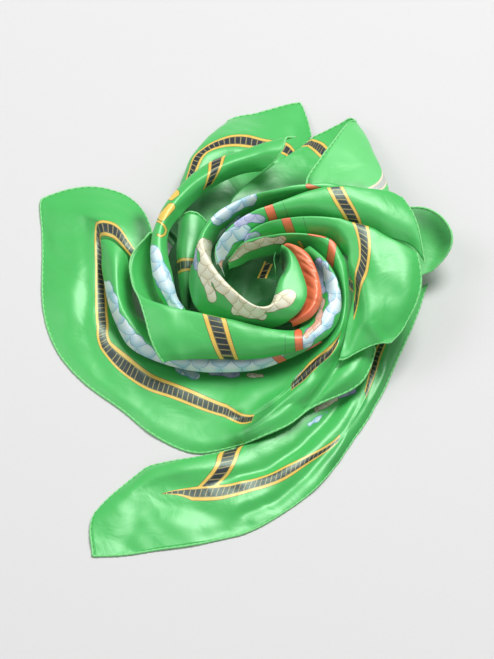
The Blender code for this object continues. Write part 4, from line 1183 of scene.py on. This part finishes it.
def make_object(name: str, points: Grid, quads: Grid, material: Material) -> Object:
    """Makes a smooth-shaded mesh object from points in mm and quads.

    Args:
        name: The object's name.
        points: One row of x, y, z for each vertex, in mm.
        quads: One row of four vertex numbers for each face.
        material: What it wears.

    Returns:
        The object, at the origin.
    """
    mesh = bpy.data.meshes.new(name)
    mesh.from_pydata((points * MM).tolist(), [], quads.tolist())
    mesh.polygons.foreach_set("use_smooth", np.ones(len(mesh.polygons), bool))
    mesh.materials.append(material)
    made = bpy.data.objects.new(name, mesh)
    bpy.context.scene.collection.objects.link(made)
    return made


def set_uv(made: Object, name: str, places: Grid) -> None:
    """Gives each face corner of an object its (u, v), in the order of its quads."""
    layer = made.data.uv_layers.new(name=name)
    layer.data.foreach_set("uv", places.astype(np.float32).ravel())


def set_values(made: Object, name: str, values: Grid) -> None:
    """Gives each vertex of an object a number that its material can read."""
    layer = made.data.attributes.new(name, "FLOAT", "POINT")
    layer.data.foreach_set("value", values.astype(np.float32).ravel())


def shell_quads(rows: int, columns: int) -> Grid:
    """Quads of a closed shell over a grid: upper side, lower side and rim.

    Args:
        rows: Points along the grid.
        columns: Points across it.

    Returns:
        Vertex numbers, the lower side's following the upper side's.
    """
    index = np.arange(rows * columns).reshape(rows, columns)
    low = index + rows * columns
    up = np.stack([index[:-1, :-1], index[1:, :-1], index[1:, 1:], index[:-1, 1:]], -1)
    down = np.stack([low[:-1, :-1], low[:-1, 1:], low[1:, 1:], low[1:, :-1]], -1)
    ring = np.concatenate([index[0, :-1], index[:-1, -1], index[-1, :0:-1], index[:0:-1, 0]])
    after = np.roll(ring, -1)
    rim = np.stack([ring, after, after + rows * columns, ring + rows * columns], -1)
    return np.concatenate([up.reshape(-1, 4), down.reshape(-1, 4), rim])


def tube_quads(rings: int, sides: int) -> Grid:
    """Quads between neighbouring rings of a tube, whose vertices are numbered ring by ring."""
    index = np.arange(rings * sides).reshape(rings, sides)
    after = np.roll(index, -1, axis=1)
    return np.stack([index[:-1], after[:-1], after[1:], index[1:]], -1).reshape(-1, 4)


def facing_out(points: Grid, quads: Grid) -> Grid:
    """Quads of a closed mesh turned to face outwards: all are reversed where its volume, the
    sum of each face's middle times its area vector, comes out negative.

    Args:
        points: The mesh's vertices.
        quads: Its faces, all wound the same way.

    Returns:
        The faces.
    """
    corners = points[quads]
    areas = np.cross(corners[:, 2] - corners[:, 0], corners[:, 3] - corners[:, 1])
    return quads[:, ::-1] if (corners.mean(1) * areas).sum() < 0 else quads


def close_tube(made: Object) -> Object:
    """Merges the collapsed rings at a tube's ends and turns its faces outwards.

    Args:
        made: The tube.

    Returns:
        The same object.
    """
    work = bmesh.new()
    work.from_mesh(made.data)
    bmesh.ops.remove_doubles(work, verts=work.verts, dist=1e-7)
    bmesh.ops.recalc_face_normals(work, faces=work.faces)
    work.to_mesh(made.data)
    work.free()
    return made


@dataclass
class Stretch:
    """One stretch of the cloth that shows: a thin shell with its print, stripe, creases and hems.

    Ends are rows that run on before and after the table's. Row numbers count from the table's
    first row. Steps and softening are for the way along the rows and across them; lengths in mm.
    """

    name: str
    columns: tuple[str, ...]
    table: Table
    bands: tuple[Band, ...] = ()
    blots: tuple[Blot, ...] = ()
    creases: tuple[Crease, ...] = ()
    shades: tuple[Shade, ...] = ()
    hems: tuple[Hem, ...] = ()
    corners: tuple[Corner, ...] = ()
    ends: tuple[Table, Table] = ((), ())
    shows: Side = Side.PRINT
    # Whether the stretch wears the darker silk, painted shade for cloth deep in the rose.
    in_shade: bool = False
    judged_rows: tuple[int, int] = (0, 99)
    rests_on: tuple[str, ...] = (HEAP_CLOTH,)
    thickness: float = 0.5
    floor_gap: float = 0.05
    steps: tuple[int, int] = (10, 10)
    softening: tuple[int, int] = (14, 4)
    stripe_margin: float = 1.8
    ripple: float = 0.32
    swell: float = 1.0
    grid: Grid = field(default_factory=lambda: np.zeros(0))
    normal: Grid = field(default_factory=lambda: np.zeros(0))

    @property
    def lead(self) -> int:
        """How many rows run on before the table's first row."""
        return len(self.ends[0])

    def shape(self) -> None:
        """Works out the middle surface and its normals: the table's smooth surface, softened,
        with its corners drawn out, then raised along its normal by creases and waves."""
        along, across = self.steps
        table = (*self.ends[0], *self.table, *self.ends[1])
        rows = relax(smooth(place(table), along), self.softening[0])
        grid = relax(smooth(rows.swapaxes(0, 1), across), self.softening[1]).swapaxes(0, 1)
        row, column = np.indices(grid.shape[:2])
        for corner in self.corners:
            at = (round((corner.row + self.lead) * along), self.columns.index(corner.column) * across)
            pull = np.exp(-np.hypot(row - at[0], column - at[1]) / (corner.reach * along))
            grid = grid + pull[..., None] * (place(np.array(corner.tip)) - grid[at])
        normal = normals_of(grid)
        first, last = (min((row + self.lead) * along, len(grid) - 1) for row in self.judged_rows)
        if (normal[first : last + 1] @ np.array(TOWARD_CAMERA)).sum() < 0:
            normal = -normal
        spots = sight(grid)
        raised = waver(grid, self.ripple, self.swell)
        for crease in self.creases:
            raised += crease.height * nearness(spots, crease.path, crease.width)
        self.grid = grid + normal * raised[..., None]
        self.normal = normals_of(self.grid)
        if (self.normal * normal).sum() < 0:
            self.normal = -self.normal

    def stripes(self) -> tuple[Grid, Grid]:
        """Stripe coordinates of each grid point.

        Across is 0 in the middle of a band and 1 at its edges; run is the metres along it.
        Where no band is near, across is NO_STRIPE.

        Returns:
            Across and run.
        """
        shape = self.grid.shape[:2]
        lead = (self.lead, 0)
        number = [index / step - first for index, step, first in zip(np.indices(shape), self.steps, lead)]
        across, run = np.full(shape, NO_STRIPE), np.zeros(shape)
        for band in self.bands:
            # The axis that the band's low and high are numbers of, and the one that it runs along.
            axis, along = (0, 1) if band.crossing else (1, 0)
            where, low, high = np.array(band.knots, float).T
            left, right = (np.interp(number[along], where, side) for side in (low, high))
            here = np.abs(2 * (number[axis] - left) / (right - left) - 1)
            inside = (number[along] >= where[0]) & (number[along] <= where[-1])
            inside &= (here < self.stripe_margin) & (here < across)
            middle = ((0.5 * (left + right) + lead[axis]) * self.steps[axis]).astype(int)
            middle = np.clip(middle, 0, shape[axis] - 1)
            length = np.take_along_axis(run_of(self.grid, along), middle, axis)
            across = np.where(inside, here, across)
            run = np.where(inside, length * MM, run)
        return across, run

    def build(self, shop: PrintShop, silk: SilkFinish) -> Object:
        """Makes the shell and dresses it.

        Args:
            shop: Shared node groups.
            silk: The cloth's finish.

        Returns:
            The cloth object.
        """
        self.shape()
        half = self.normal * self.thickness / 2
        upper, lower = self.grid + half, self.grid - half
        lift = np.maximum(self.floor_gap - np.minimum(upper[..., 2], lower[..., 2]), 0.0)
        for side in (upper, lower, self.grid):
            side[..., 2] += lift
        points = np.concatenate([upper.reshape(-1, 3), lower.reshape(-1, 3)])
        quads = facing_out(points, shell_quads(*self.grid.shape[:2]))
        cloth = make_object(f"{self.name}_cloth", points, quads, silk.material(self.name, shop, self.blots))
        spots = sight(self.grid)
        set_uv(cloth, "sight", np.tile(spots.reshape(-1, 2) * MM, (2, 1))[quads])
        across, run = self.stripes()
        # Painted shade: each vertex's darkness, strongest along the stretch's shade paths.
        deep = np.zeros(across.shape)
        for shade in self.shades:
            deep = np.maximum(deep, shade.strength * nearness(spots, shade.path, shade.width))
        for name, values in (("stripe", across), ("run", run), ("shade", deep)):
            set_values(cloth, name, np.tile(values.ravel(), 2))
        front = self.shows.value
        set_values(cloth, "reverse", np.repeat([front, 1.0 - front], across.size))
        return cloth

    def edge(self, hem: Hem) -> tuple[Grid, Grid, Grid]:
        """Points, surface normals and outward directions along one hem.

        Args:
            hem: Which edge, and how much of it.

        Returns:
            Three arrays of x, y, z.
        """
        on_column = hem.edge in (Edge.FIRST_COLUMN, Edge.LAST_COLUMN)
        line, inner = (-1, -4) if hem.edge in (Edge.LAST_COLUMN, Edge.LAST_ROW) else (0, 3)
        grid, normal = self.grid, self.normal
        lead, step = self.lead, self.steps[0]
        if not on_column:
            grid, normal = grid.swapaxes(0, 1), normal.swapaxes(0, 1)
            lead, step = 0, self.steps[1]
        part = slice(int((hem.start + lead) * step), int((hem.end + lead) * step) + 1)
        points = grid[part, line]
        return points, normal[part, line], unit(points - grid[part, inner])

    def add_hems(self, shop: PrintShop, roll: "HemRoll") -> list[Object]:
        """Rolls a hem along each edge that has one.

        Args:
            shop: Shared node groups.
            roll: The hem's form and finish.

        Returns:
            The hem objects.
        """
        made = []
        for number, hem in enumerate(self.hems, 1):
            name = f"{self.name}_hem" + (f"_{number}" if number > 1 else "")
            made.append(roll.build(name, *self.edge(hem), shop))
        return made


@dataclass
class HemRoll:
    """A rolled hem: a slightly flat tube along an edge, drawn in at each stitch. In mm."""

    radius: float = 1.25
    flatness: float = 0.92
    outset: float = 0.35
    sides: int = 10
    spacing: float = 1.1
    dip: float = 0.20
    dip_at: float = 0.18
    dip_width: float = 0.12
    unevenness: float = 0.05
    floor_gap: float = 0.02
    finish: HemFinish = HemFinish()

    def build(self, name: str, points: Grid, normal: Grid, outward: Grid, shop: PrintShop) -> Object:
        """Makes one hem.

        Round the roll, a point is the edge plus the radius times the cosine of its turn outwards
        and times the sine along the cloth's normal. The radius dips at each stitch and wavers.

        Args:
            name: The object's name.
            points: Points along the edge, in mm.
            normal: The cloth's normals there.
            outward: Directions away from the cloth there.
            shop: Shared node groups.

        Returns:
            The hem object.
        """
        run = run_of(points, 0)
        at = np.linspace(0.0, run[-1], max(int(run[-1] / self.spacing), 8))
        line, up, out = (np.stack([np.interp(at, run, part[:, k]) for k in range(3)], -1)[:, None]
                         for part in (points, normal, outward))
        beat = (at / (self.finish.stitch_spacing / MM)) % 1.0
        dips = self.dip * np.exp(-(((beat - self.dip_at) / self.dip_width) ** 2))
        size = self.radius * (1.0 - dips + self.unevenness * np.sin(at / 5.3) * np.sin(at / 2.1))
        turn = np.arange(self.sides)[None, :, None] * 2 * math.pi / self.sides
        round_it = out * (np.cos(turn) + self.outset) + up * np.sin(turn) * self.flatness
        ring = line + size[:, None, None] * round_it
        first, last = (end.mean(1, keepdims=True).repeat(self.sides, 1) for end in (ring[:1], ring[-1:]))
        tube = np.concatenate([first, ring, last])
        tube[..., 2] += np.maximum(self.floor_gap - tube[..., 2].min(1), 0.0)[:, None]
        quads = tube_quads(len(tube), self.sides)
        made = make_object(name, tube.reshape(-1, 3), quads, self.finish.material(name, shop))
        along = np.concatenate([at[:1], at, at[-1:]]).repeat(self.sides) * MM
        places = np.stack([along, np.tile(np.arange(self.sides) / self.sides, len(tube))], -1)[quads]
        over_seam = (np.ptp(places[..., 1], 1) > 0.5)[:, None] & (places[..., 1] < 0.5)
        places[..., 1] += over_seam
        set_uv(made, "hem", places)
        return close_tube(made)


@dataclass
class Heap:
    """The layers that the outer stretches hide: a low rounded heap, layered at its edges. In mm."""

    name: str = "hidden_layers"
    centre: Entry = (267.0, 296.0, 0.0)
    hollow: Entry = (252.5, 296.0, 20.0)
    hollow_radius: float = 34.0
    hollow_foot: float = 15.0
    pole_rings: int = 5
    steps: int = 6
    sides: int = 240
    lip: float = 0.5
    shrink: float = 0.8
    fold_at: tuple[float, float] = (266.0, 286.0)
    fold_spread: tuple[float, float] = (13.0, 10.0)
    fold_height: float = 11.0
    strap: Path = ((276.0, 248.0), (268.0, 264.0), (250.0, 305.0))
    strap_half: float = 4.5
    strap_front: float = 279.0

    def surface(self) -> Grid:
        """Rings of the heap. Each is an ellipse whose half sizes and centre follow its height,
        with fine lips of cloth edges and a slow waver round it. A low fold lies in the hollow.

        Returns:
            Points, rings by sides by 3, from the middle of the base to the middle of the hollow.
        """
        rings = smooth(np.array(HEAP_RINGS, float), self.steps)
        ring = dict(zip(HEAP_COLUMNS, rings.T[..., None]))
        height, to_hollow = ring["height"], ring["to_hollow"]
        centre, hollow = place(np.array(self.centre)), place(np.array(self.hollow))
        turn = np.arange(self.sides)[None, :] * 2 * math.pi / self.sides
        middle = centre + (hollow - centre) * to_hollow
        outer = np.clip(1.0 - 4.0 * to_hollow, 0.0, 1.0)
        lips = self.lip * np.sin(height * 2.1 + 1.2 * np.sin(2 * turn)) * outer
        grown = (0.3 + 0.3 * outer) * np.sin(5 * turn + height / 5.0) + lips - self.shrink
        x = middle[:, :1] + ring["sideways"] + (ring["half_across"] + grown) * np.cos(turn)
        y = middle[:, 1:2] + ring["backwards"] + (ring["half_deep"] + grown) * np.sin(turn)
        grid = np.stack([x, y, np.maximum(height, 0.0) + 0.0 * turn], -1)
        foot, pole = (part.mean(1, keepdims=True) for part in (grid[:1], grid[-1:]))
        share = np.linspace(1.0, 0.0, self.pole_rings + 1)[1:, None, None]
        grid = np.concatenate([grid, pole + (grid[-1:] - pole) * share])
        inside = np.concatenate([to_hollow, np.ones((self.pole_rings, 1))]) > 0.85
        away = (sight(grid) - self.fold_at) / self.fold_spread
        grid[..., 2] += self.fold_height * np.exp(-(away**2).sum(-1)) * inside
        return np.concatenate([foot.repeat(self.sides, 1), grid])

    def build(self, shop: PrintShop, silk: SilkFinish) -> Object:
        """Makes the heap, with a short strap of the ladder stripe in its hollow.

        Args:
            shop: Shared node groups.
            silk: The cloth's finish.

        Returns:
            The heap object.
        """
        grid = self.surface()
        quads = tube_quads(*grid.shape[:2])
        material = silk.material(self.name, shop, ())
        made = close_tube(make_object(f"{self.name}_cloth", grid.reshape(-1, 3), quads, material))
        count = len(made.data.vertices)
        points = np.empty(count * 3)
        made.data.vertices.foreach_get("co", points)
        points = points.reshape(-1, 3) / MM
        spots = sight(points)
        off = np.linalg.norm((points - place(np.array(self.hollow)))[:, :2], axis=-1)
        shown = (off < self.hollow_radius) & (points[:, 2] > self.hollow_foot)
        shown &= spots[:, 1] < self.strap_front
        across = np.where(shown, distance_to_path(spots, self.strap) / self.strap_half, NO_STRIPE)
        set_values(made, "stripe", across)
        set_values(made, "run", points[:, 1] * MM)
        for name in ("reverse", "shade"):
            set_values(made, name, np.zeros(count))
        return made


@dataclass(frozen=True)
class Lamp:
    """A square area light that faces the origin: its name, place and side in metres, and watts."""

    name: str
    spot: Entry
    size: float
    power: float

    def hang(self) -> None:
        """Adds the light to the scene."""
        lamp = bpy.data.lights.new(self.name, "AREA")
        lamp.energy, lamp.size = self.power, self.size
        made = bpy.data.objects.new(self.name, lamp)
        made.location = self.spot
        made.rotation_euler = (-Vector(self.spot)).to_track_quat("-Z", "Y").to_euler()
        bpy.context.scene.collection.objects.link(made)


@dataclass
class Studio:
    """Pale floor, soft light and the camera. In metres, the lens in millimetres."""

    floor_half: float = 7.0
    floor_colour: Colour = (0.66, 0.66, 0.66)
    world_colour: Colour = (1.0, 0.995, 0.99)
    world_strength: float = 0.30
    lamps: tuple[Lamp, ...] = (
        Lamp("key_light", (1.25, 1.90, 4.0), 2.2, 205.0),
        Lamp("left_light", (-3.0, 0.6, 3.4), 2.4, 44.0),
        Lamp("front_light", (0.6, -3.4, 3.4), 2.4, 24.0),
    )
    camera_distance: float = 20.0
    lens: float = 1092.6
    sensor: float = 36.0

    def build(self) -> None:
        """Sets the floor, the lights, the world and the camera."""
        self._floor()
        for lamp in self.lamps:
            lamp.hang()
        world = bpy.data.worlds.new("studio_world")
        world.use_nodes = True
        sky = world.node_tree.nodes["Background"]
        sky.inputs["Color"].default_value = (*self.world_colour, 1.0)
        sky.inputs["Strength"].default_value = self.world_strength
        bpy.context.scene.world = world
        bpy.context.scene.view_settings.view_transform = "Standard"
        self._camera()

    def _floor(self) -> None:
        """Lays the floor."""
        made, nodes, shader = new_material("floor_paper")
        grain = nodes.noise(nodes.object_place(), Scale=300.0).outputs["Fac"]
        pale = tuple(0.97 * value for value in self.floor_colour)
        colour = nodes.mix(grain, self.floor_colour, pale)
        nodes.feed_all(shader, Base_Color=colour, Roughness=0.9, Specular_IOR_Level=0.1)
        signs = np.array([(-1, -1, 0), (1, -1, 0), (1, 1, 0), (-1, 1, 0)])
        corners = signs * self.floor_half / MM
        make_object("floor", corners, np.array([[0, 1, 2, 3]]), made)

    def _camera(self) -> None:
        """Places a long-lens camera in front, as high as the sight angle."""
        lens = bpy.data.cameras.new("camera")
        lens.lens, lens.sensor_width, lens.sensor_fit = self.lens, self.sensor, "AUTO"
        lens.clip_start, lens.clip_end = 1.0, 60.0
        made = bpy.data.objects.new("camera", lens)
        back, up = Vector(TOWARD_CAMERA), Vector(UP_THE_SIGHT_PLANE)
        made.location = up * ((CENTRE_DOWN - CAMERA_DOWN) * MM) + back * self.camera_distance
        made.rotation_euler = (-back).to_track_quat("-Z", "Y").to_euler()
        bpy.context.scene.collection.objects.link(made)
        bpy.context.scene.camera = made


def front_stretches() -> list[Stretch]:
    """The stretches from the front apron to the cone's mouth.

    Returns:
        The stretches with their stripe, print, creases and hems.
    """
    apron = Stretch(
        "front_apron", APRON_COLUMNS, APRON,
        bands=(
            Band(((0.2, 4, 5), (9.2, 4, 5), (10.2, 3.6, 4.7), (11, 3.7, 4.8), (12, 3.9, 4.95), (13, 4, 5),
                  (15, 4, 5), (15.9, 3.55, 4.55), (16.3, 3.3, 4.3))),
            Band(((18.4, 3.6, 5.2), (19.2, 3.1, 5.3), (20.2, 2.95, 4.9), (21.2, 2.95, 4.6),
                  (22.4, 3.3, 4.5))),
            Band(((0.5, 24.9, 25.5), (3.4, 24.9, 25.5)), crossing=True),
        ),
        blots=(
            Blot(SKY, ((179, 370), (197, 376)), 6.0),
            Blot(LILAC, ((212, 373), (238, 374)), 4.5),
            Blot(CREAM, ((248, 375), (262, 376)), 3.5),
            Blot(ORANGE, ((333, 240), (329, 270)), 4.0),
            Blot(ORANGE, ((309, 234), (325, 237)), 1.5),
            Blot(GOLD, ((299, 242), (306, 252), (301, 261)), 1.6),
            Blot(CREAM, ((230, 258), (248, 247), (262, 243), (281, 240)), 6.0),
        ),
        creases=(
            Crease(((338, 343), (315, 371), (290, 381), (261, 398), (240, 416)), -3.0, 7.0),
            Crease(((341, 345), (326, 371), (304, 394), (279, 415), (243, 437)), 3.0, 7.0),
            Crease(((345, 353), (319, 393), (305, 408)), -3.0, 5.0),
            Crease(((60, 215), (75, 260), (70, 310)), 1.6, 16.0),
            Crease(((85, 222), (88, 270), (84, 330), (105, 372)), -1.6, 9.0),
            Crease(((140, 372), (190, 398), (230, 432)), 1.4, 12.0),
        ),
        shades=(
            Shade(((141, 222), (147, 250), (150, 290)), 9.0),
            Shade(((112, 330), (150, 372), (230, 380), (300, 368)), 7.0, 0.3),
            Shade(((258, 262), (285, 258), (330, 300)), 8.0, 0.5),
            Shade(((246, 432), (270, 406)), 5.0, 0.4),
        ),
        hems=(Hem(Edge.FIRST_COLUMN, 0, 23),),
        corners=(Corner(5, "hem", (41, 200, 2)),),
        ends=((), APRON_END),
        rests_on=("floor", HEAP_CLOTH),
    )
    lower_roll = Stretch(
        "lower_roll", LOWER_ROLL_COLUMNS, LOWER_ROLL,
        blots=(
            Blot(SKY, ((105, 290), (112, 315), (128, 338), (155, 362), (190, 366), (230, 365), (262, 362),
                       (275, 358)), 12.0),
            Blot(ORANGE, ((276, 356), (288, 366)), 4.0),
            Blot(ORANGE, ((306, 358), (324, 344)), 6.0),
        ),
        rests_on=("front_apron_cloth", HEAP_CLOTH),
    )
    front_turn = Stretch(
        "front_turn", FRONT_TURN_COLUMNS, FRONT_TURN,
        bands=(Band(((3, 3.61, 4.31), (7, 3.94, 4.55)), crossing=True),),
        blots=(
            Blot(SKY, ((322, 268), (332, 285), (335, 305), (325, 322), (312, 334), (305, 345)), 9.0),
            Blot(LILAC, ((318, 262), (322, 290)), 5.0),
            Blot(PEACH, ((322, 300), (318, 322), (306, 336)), 4.5),
            Blot(ORANGE, ((298, 333), (299, 349)), 4.0),
            Blot(LINE, ((285, 333), (285, 353)), 0.35),
        ),
        hems=(Hem(Edge.FIRST_ROW, 0, 7), Hem(Edge.FIRST_COLUMN, 0, 1)),
        rests_on=("lower_roll_cloth", HEAP_CLOTH),
    )
    inner_turn = Stretch(
        "inner_turn", INNER_TURN_COLUMNS, INNER_TURN,
        blots=(
            Blot(ORANGE, ((282, 246), (300, 252), (313, 270), (317, 290), (313, 306), (300, 319),
                          (284, 324)), 11.0),
        ),
        creases=(
            Crease(((298, 254), (311, 262)), -0.9, 1.8),
            Crease(((302, 262), (315, 271)), -0.9, 1.6),
            Crease(((304, 272), (317, 281)), -0.9, 1.8),
            Crease(((305, 284), (318, 292)), -0.8, 1.6),
            Crease(((303, 297), (317, 302)), -0.8, 1.8),
        ),
    )
    heart = Stretch(
        "rose_heart", HEART_COLUMNS, HEART,
        blots=(
            Blot(SKY, ((216, 246), (222, 232), (238, 220)), 6.0),
            Blot(SKY, ((218, 218), (232, 205), (250, 198)), 10.0),
            Blot(LILAC, ((194, 250), (197, 268)), 4.0),
            Blot(CREAM, ((205, 246), (210, 264), (222, 284), (237, 298), (255, 306), (272, 305),
                         (288, 297)), 9.5),
            Blot(CREAM, ((202, 266), (206, 282), (213, 298)), 6.5),
            Blot(CREAM, ((236, 310), (262, 316)), 6.5),
            Blot(ORANGE, ((308, 186), (320, 190)), 2.5),
            Blot(ORANGE, ((237, 286), (239, 287)), 1.0),
        ),
        shades=(Shade(((282, 254), (284, 262), (282, 271)), 4.5, 1.0),),
    )
    # The cone's mouth lies in shade and wears the darker silk, painted shade.
    mouth = Stretch("cone_mouth", MOUTH_COLUMNS, MOUTH, in_shade=True, rests_on=("rose_heart_cloth",))
    return [apron, lower_roll, front_turn, inner_turn, heart, mouth]


def side_stretches() -> list[Stretch]:
    """The two layers of the right leaf, the ribbon and the leaf on the left.

    Returns:
        The stretches with their stripe, print, creases and hems.
    """
    upper_roll = Stretch(
        "upper_roll", UPPER_ROLL_COLUMNS, UPPER_ROLL,
        bands=(Band(((1, 4.78, 5.63), (4, 4.97, 5.68)), crossing=True),),
        blots=(
            Blot(ORANGE, ((268, 205), (273, 219)), 4.5),
            Blot(LINE, ((282, 201), (288, 216)), 0.35),
            Blot(SKY, ((220, 270), (218, 256), (228, 240), (242, 230)), 10.0),
            Blot(LILAC, ((238, 224), (250, 218), (262, 220)), 5.5),
            Blot(PEACH, ((216, 274), (222, 262)), 4.0),
        ),
        ends=(UPPER_ROLL_START, ()),
        hems=(Hem(Edge.LAST_ROW, 0, 4),),
    )
    right_leaf = Stretch(
        "right_leaf", RIGHT_LEAF_COLUMNS, RIGHT_LEAF,
        bands=(Band(((0, 5.0, 6.0), (1, 5.0, 6.0), (3, 5.9, 6.6), (5, 6.3, 6.9)), crossing=True),),
        blots=(
            Blot(LILAC, ((238, 248), (246, 238), (256, 236)), 6.0),
            Blot(ORANGE, ((285, 217), (291, 233)), 4.5),
            Blot(LINE, ((303, 217), (307, 232)), 0.35),
        ),
        creases=(
            Crease(((339, 249), (353, 267), (364, 286), (366, 300), (368, 322), (383, 343)), 2.6, 6.0),
            Crease(((330, 252), (344, 272), (352, 292), (352, 320), (346, 344)), -2.4, 6.0),
            Crease(((384, 244), (394, 272), (386, 312)), -1.6, 11.0),
        ),
        ends=(RIGHT_LEAF_START, ()),
        corners=(Corner(7, "hem", (339, 359, 40), 0.6),),
        hems=(Hem(Edge.LAST_ROW, 0, 6), Hem(Edge.LAST_COLUMN, 7, 10)),
        rests_on=("front_apron_cloth", HEAP_CLOTH),
    )
    left_ribbon = Stretch(
        "left_ribbon", RIBBON_COLUMNS, RIBBON,
        bands=(Band(((1, 2.35, 3.05), (4, 2.9, 3.45)), crossing=True),),
        blots=(
            Blot(SKY, ((152, 254), (158, 266), (166, 284), (176, 304)), 11.0),
            Blot(GOLD, ((171, 197), (176, 193)), 3.6),
            Blot(GOLD, ((162, 217), (171, 207)), 4.2),
            Blot(GOLD, ((155, 220), (160, 222), (164, 225.5), (166, 230), (164.5, 234.5), (161, 236.5),
                        (158, 235)), 1.3),
        ),
        hems=(Hem(Edge.FIRST_ROW, 0, 5),),
        ends=((), RIBBON_END),
    )
    small_leaf = Stretch(
        "small_leaf", SMALL_LEAF_COLUMNS, SMALL_LEAF,
        bands=(Band(((0, 1.95, 2.6), (4, 1.85, 2.45)), crossing=True),),
        shades=(
            Shade(((190, 232), (188, 300)), 16.0, 0.4),
            Shade(((190, 290), (190, 316)), 9.0, 0.8),
        ),
        ends=((), SMALL_LEAF_END),
        hems=(Hem(Edge.FIRST_ROW, 0, 4),),
    )
    return [upper_roll, right_leaf, left_ribbon, small_leaf]


def outer_stretches() -> list[Stretch]:
    """The two corners at the back, the ear on the right and the long tail.

    Returns:
        The stretches with their stripe, print, creases and hems.
    """
    back_leaf = Stretch(
        "back_leaf", BACK_LEAF_COLUMNS, BACK_LEAF,
        bands=(Band(((0, 3, 4), (9, 3, 4))),),
        shades=(
            Shade(((166, 240), (180, 212), (196, 206), (214, 196), (228, 190)), 13.0, 0.9),
            Shade(((232, 196), (262, 188), (290, 180)), 9.0, 0.6),
        ),
        ends=(BACK_LEAF_START, ()),
        hems=(Hem(Edge.FIRST_COLUMN, 0, 9),),
        corners=(Corner(7, "hem", (300, 102, 3)),),
        rests_on=("floor", HEAP_CLOTH),
    )
    cornet = Stretch(
        "back_cornet", CORNET_COLUMNS, CORNET,
        bands=(
            Band(((0, -0.2, 0.2), (1, 0.1, 0.65), (2, 0.8, 1.5), (2.6, 1.3, 2.0))),
            Band(((4.9, 2.85, 3.6), (5.45, 3.63, 4.35), (6, 4.4, 5.2))),
        ),
        shades=(
            Shade(((226, 205), (262, 192), (300, 186)), 12.0, 0.8),
            Shade(((300, 190), (360, 192)), 8.0, 0.6),
        ),
        hems=(Hem(Edge.FIRST_COLUMN, 0, 7), Hem(Edge.LAST_ROW, 0, 5)),
        judged_rows=(0, 4),
        rests_on=("floor", HEAP_CLOTH),
    )
    ear = Stretch(
        "right_ear", EAR_COLUMNS, EAR,
        shades=(
            Shade(((380, 215), (396, 240), (404, 270)), 16.0, 0.5),
            Shade(((418, 216), (434, 227), (446, 240)), 10.0, 0.6),
        ),
        hems=(Hem(Edge.FIRST_COLUMN, 0, 6), Hem(Edge.LAST_ROW, 0, 3)),
        shows=Side.REVERSE,
    )
    tail = Stretch(
        "long_tail", TAIL_COLUMNS, TAIL,
        bands=(
            Band(((2.4, 2.9, 3), (3.3, 2, 3), (8, 2, 3))),
            Band(((10, 2, 3), (13, 2, 3))),
            Band(((3, 3.38, 3.95), (5, 3.9, 4.6), (7, 4.3, 5.35)), crossing=True),
        ),
        blots=(
            Blot(CREAM, ((317, 409), (335, 399)), 5.0),
            Blot(LILAC, ((336, 396), (352, 391)), 4.5),
            Blot(SKY, ((309, 424), (326, 412)), 3.5),
        ),
        creases=(
            Crease(((150, 470), (200, 461), (225, 455), (266, 438), (299, 417), (325, 397)), 2.5, 9.0),
            Crease(((222, 478), (266, 469), (297, 448), (324, 421), (341, 400)), -3.0, 6.0),
            Crease(((240, 482), (279, 473), (318, 448), (339, 428), (352, 405)), 2.5, 7.0),
            Crease(((246, 510), (277, 498), (308, 473), (328, 448), (349, 425), (366, 403), (378, 370)),
                   -3.5, 7.0),
            Crease(((125, 540), (140, 512), (160, 503), (190, 507), (246, 523)), -1.8, 10.0),
            Crease(((235, 505), (262, 498)), 1.5, 9.0),
            Crease(((205, 535), (225, 530)), -1.2, 9.0),
        ),
        shades=(
            Shade(((250, 446), (290, 426), (325, 402), (345, 378)), 5.0, 0.4),
            Shade(((396, 345), (388, 390), (372, 430), (340, 466)), 15.0, 0.5),
        ),
        hems=(Hem(Edge.FIRST_COLUMN, 0, 14), Hem(Edge.FIRST_ROW, 0, 7), Hem(Edge.LAST_COLUMN, 0, 6)),
        corners=(Corner(0, "hem", (94, 554, 1)),),
        rests_on=("floor",),
    )
    return [back_leaf, cornet, ear, tail]


def settle(piece: Object) -> None:
    """Attaches a piece to the scarf's root body, so that it moves with the scarf."""
    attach(piece, "root")


def main() -> None:
    """Builds the studio and the scarf, attaches each piece to the scarf's root, hides the model's parts
    that the pieces stand for, and logs each stretch's cut and faces.
    """
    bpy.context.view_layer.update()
    Studio().build()
    shop, silk, roll = PrintShop(), SilkFinish(), HemRoll()
    # Painted shade: a darker copy of the silk, for the cone's mouth and the hidden heap, which lie in
    # shade.
    deep = SilkFinish(ground=(0.014, 0.16, 0.034), shade=(0.008, 0.10, 0.02), roughness=0.6,
                      sheen=0.0, coat=0.0)
    for part in front_stretches() + side_stretches() + outer_stretches():
        cloth = part.build(shop, deep if part.in_shade else silk)
        hems = part.add_hems(shop, roll)
        for piece in (cloth, *hems):
            settle(piece)
        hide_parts(part.name)
        wide, long = run_of(part.grid, 1)[:, -1].mean(), run_of(part.grid, 0)[-1].mean()
        LOG.info("%s: cut %.0f x %.0f mm, %d faces", part.name, wide, long, len(cloth.data.polygons))
    heap = Heap()
    # The hidden heap wears the darker silk: painted shade for the layers under the rose and its hollow.
    layers = heap.build(shop, deep)
    settle(layers)
    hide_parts(heap.name)
    LOG.info("%s: %d faces", heap.name, len(layers.data.polygons))


if __name__ == "__main__":
    logging.basicConfig(level=logging.INFO, format="%(message)s")
    main()
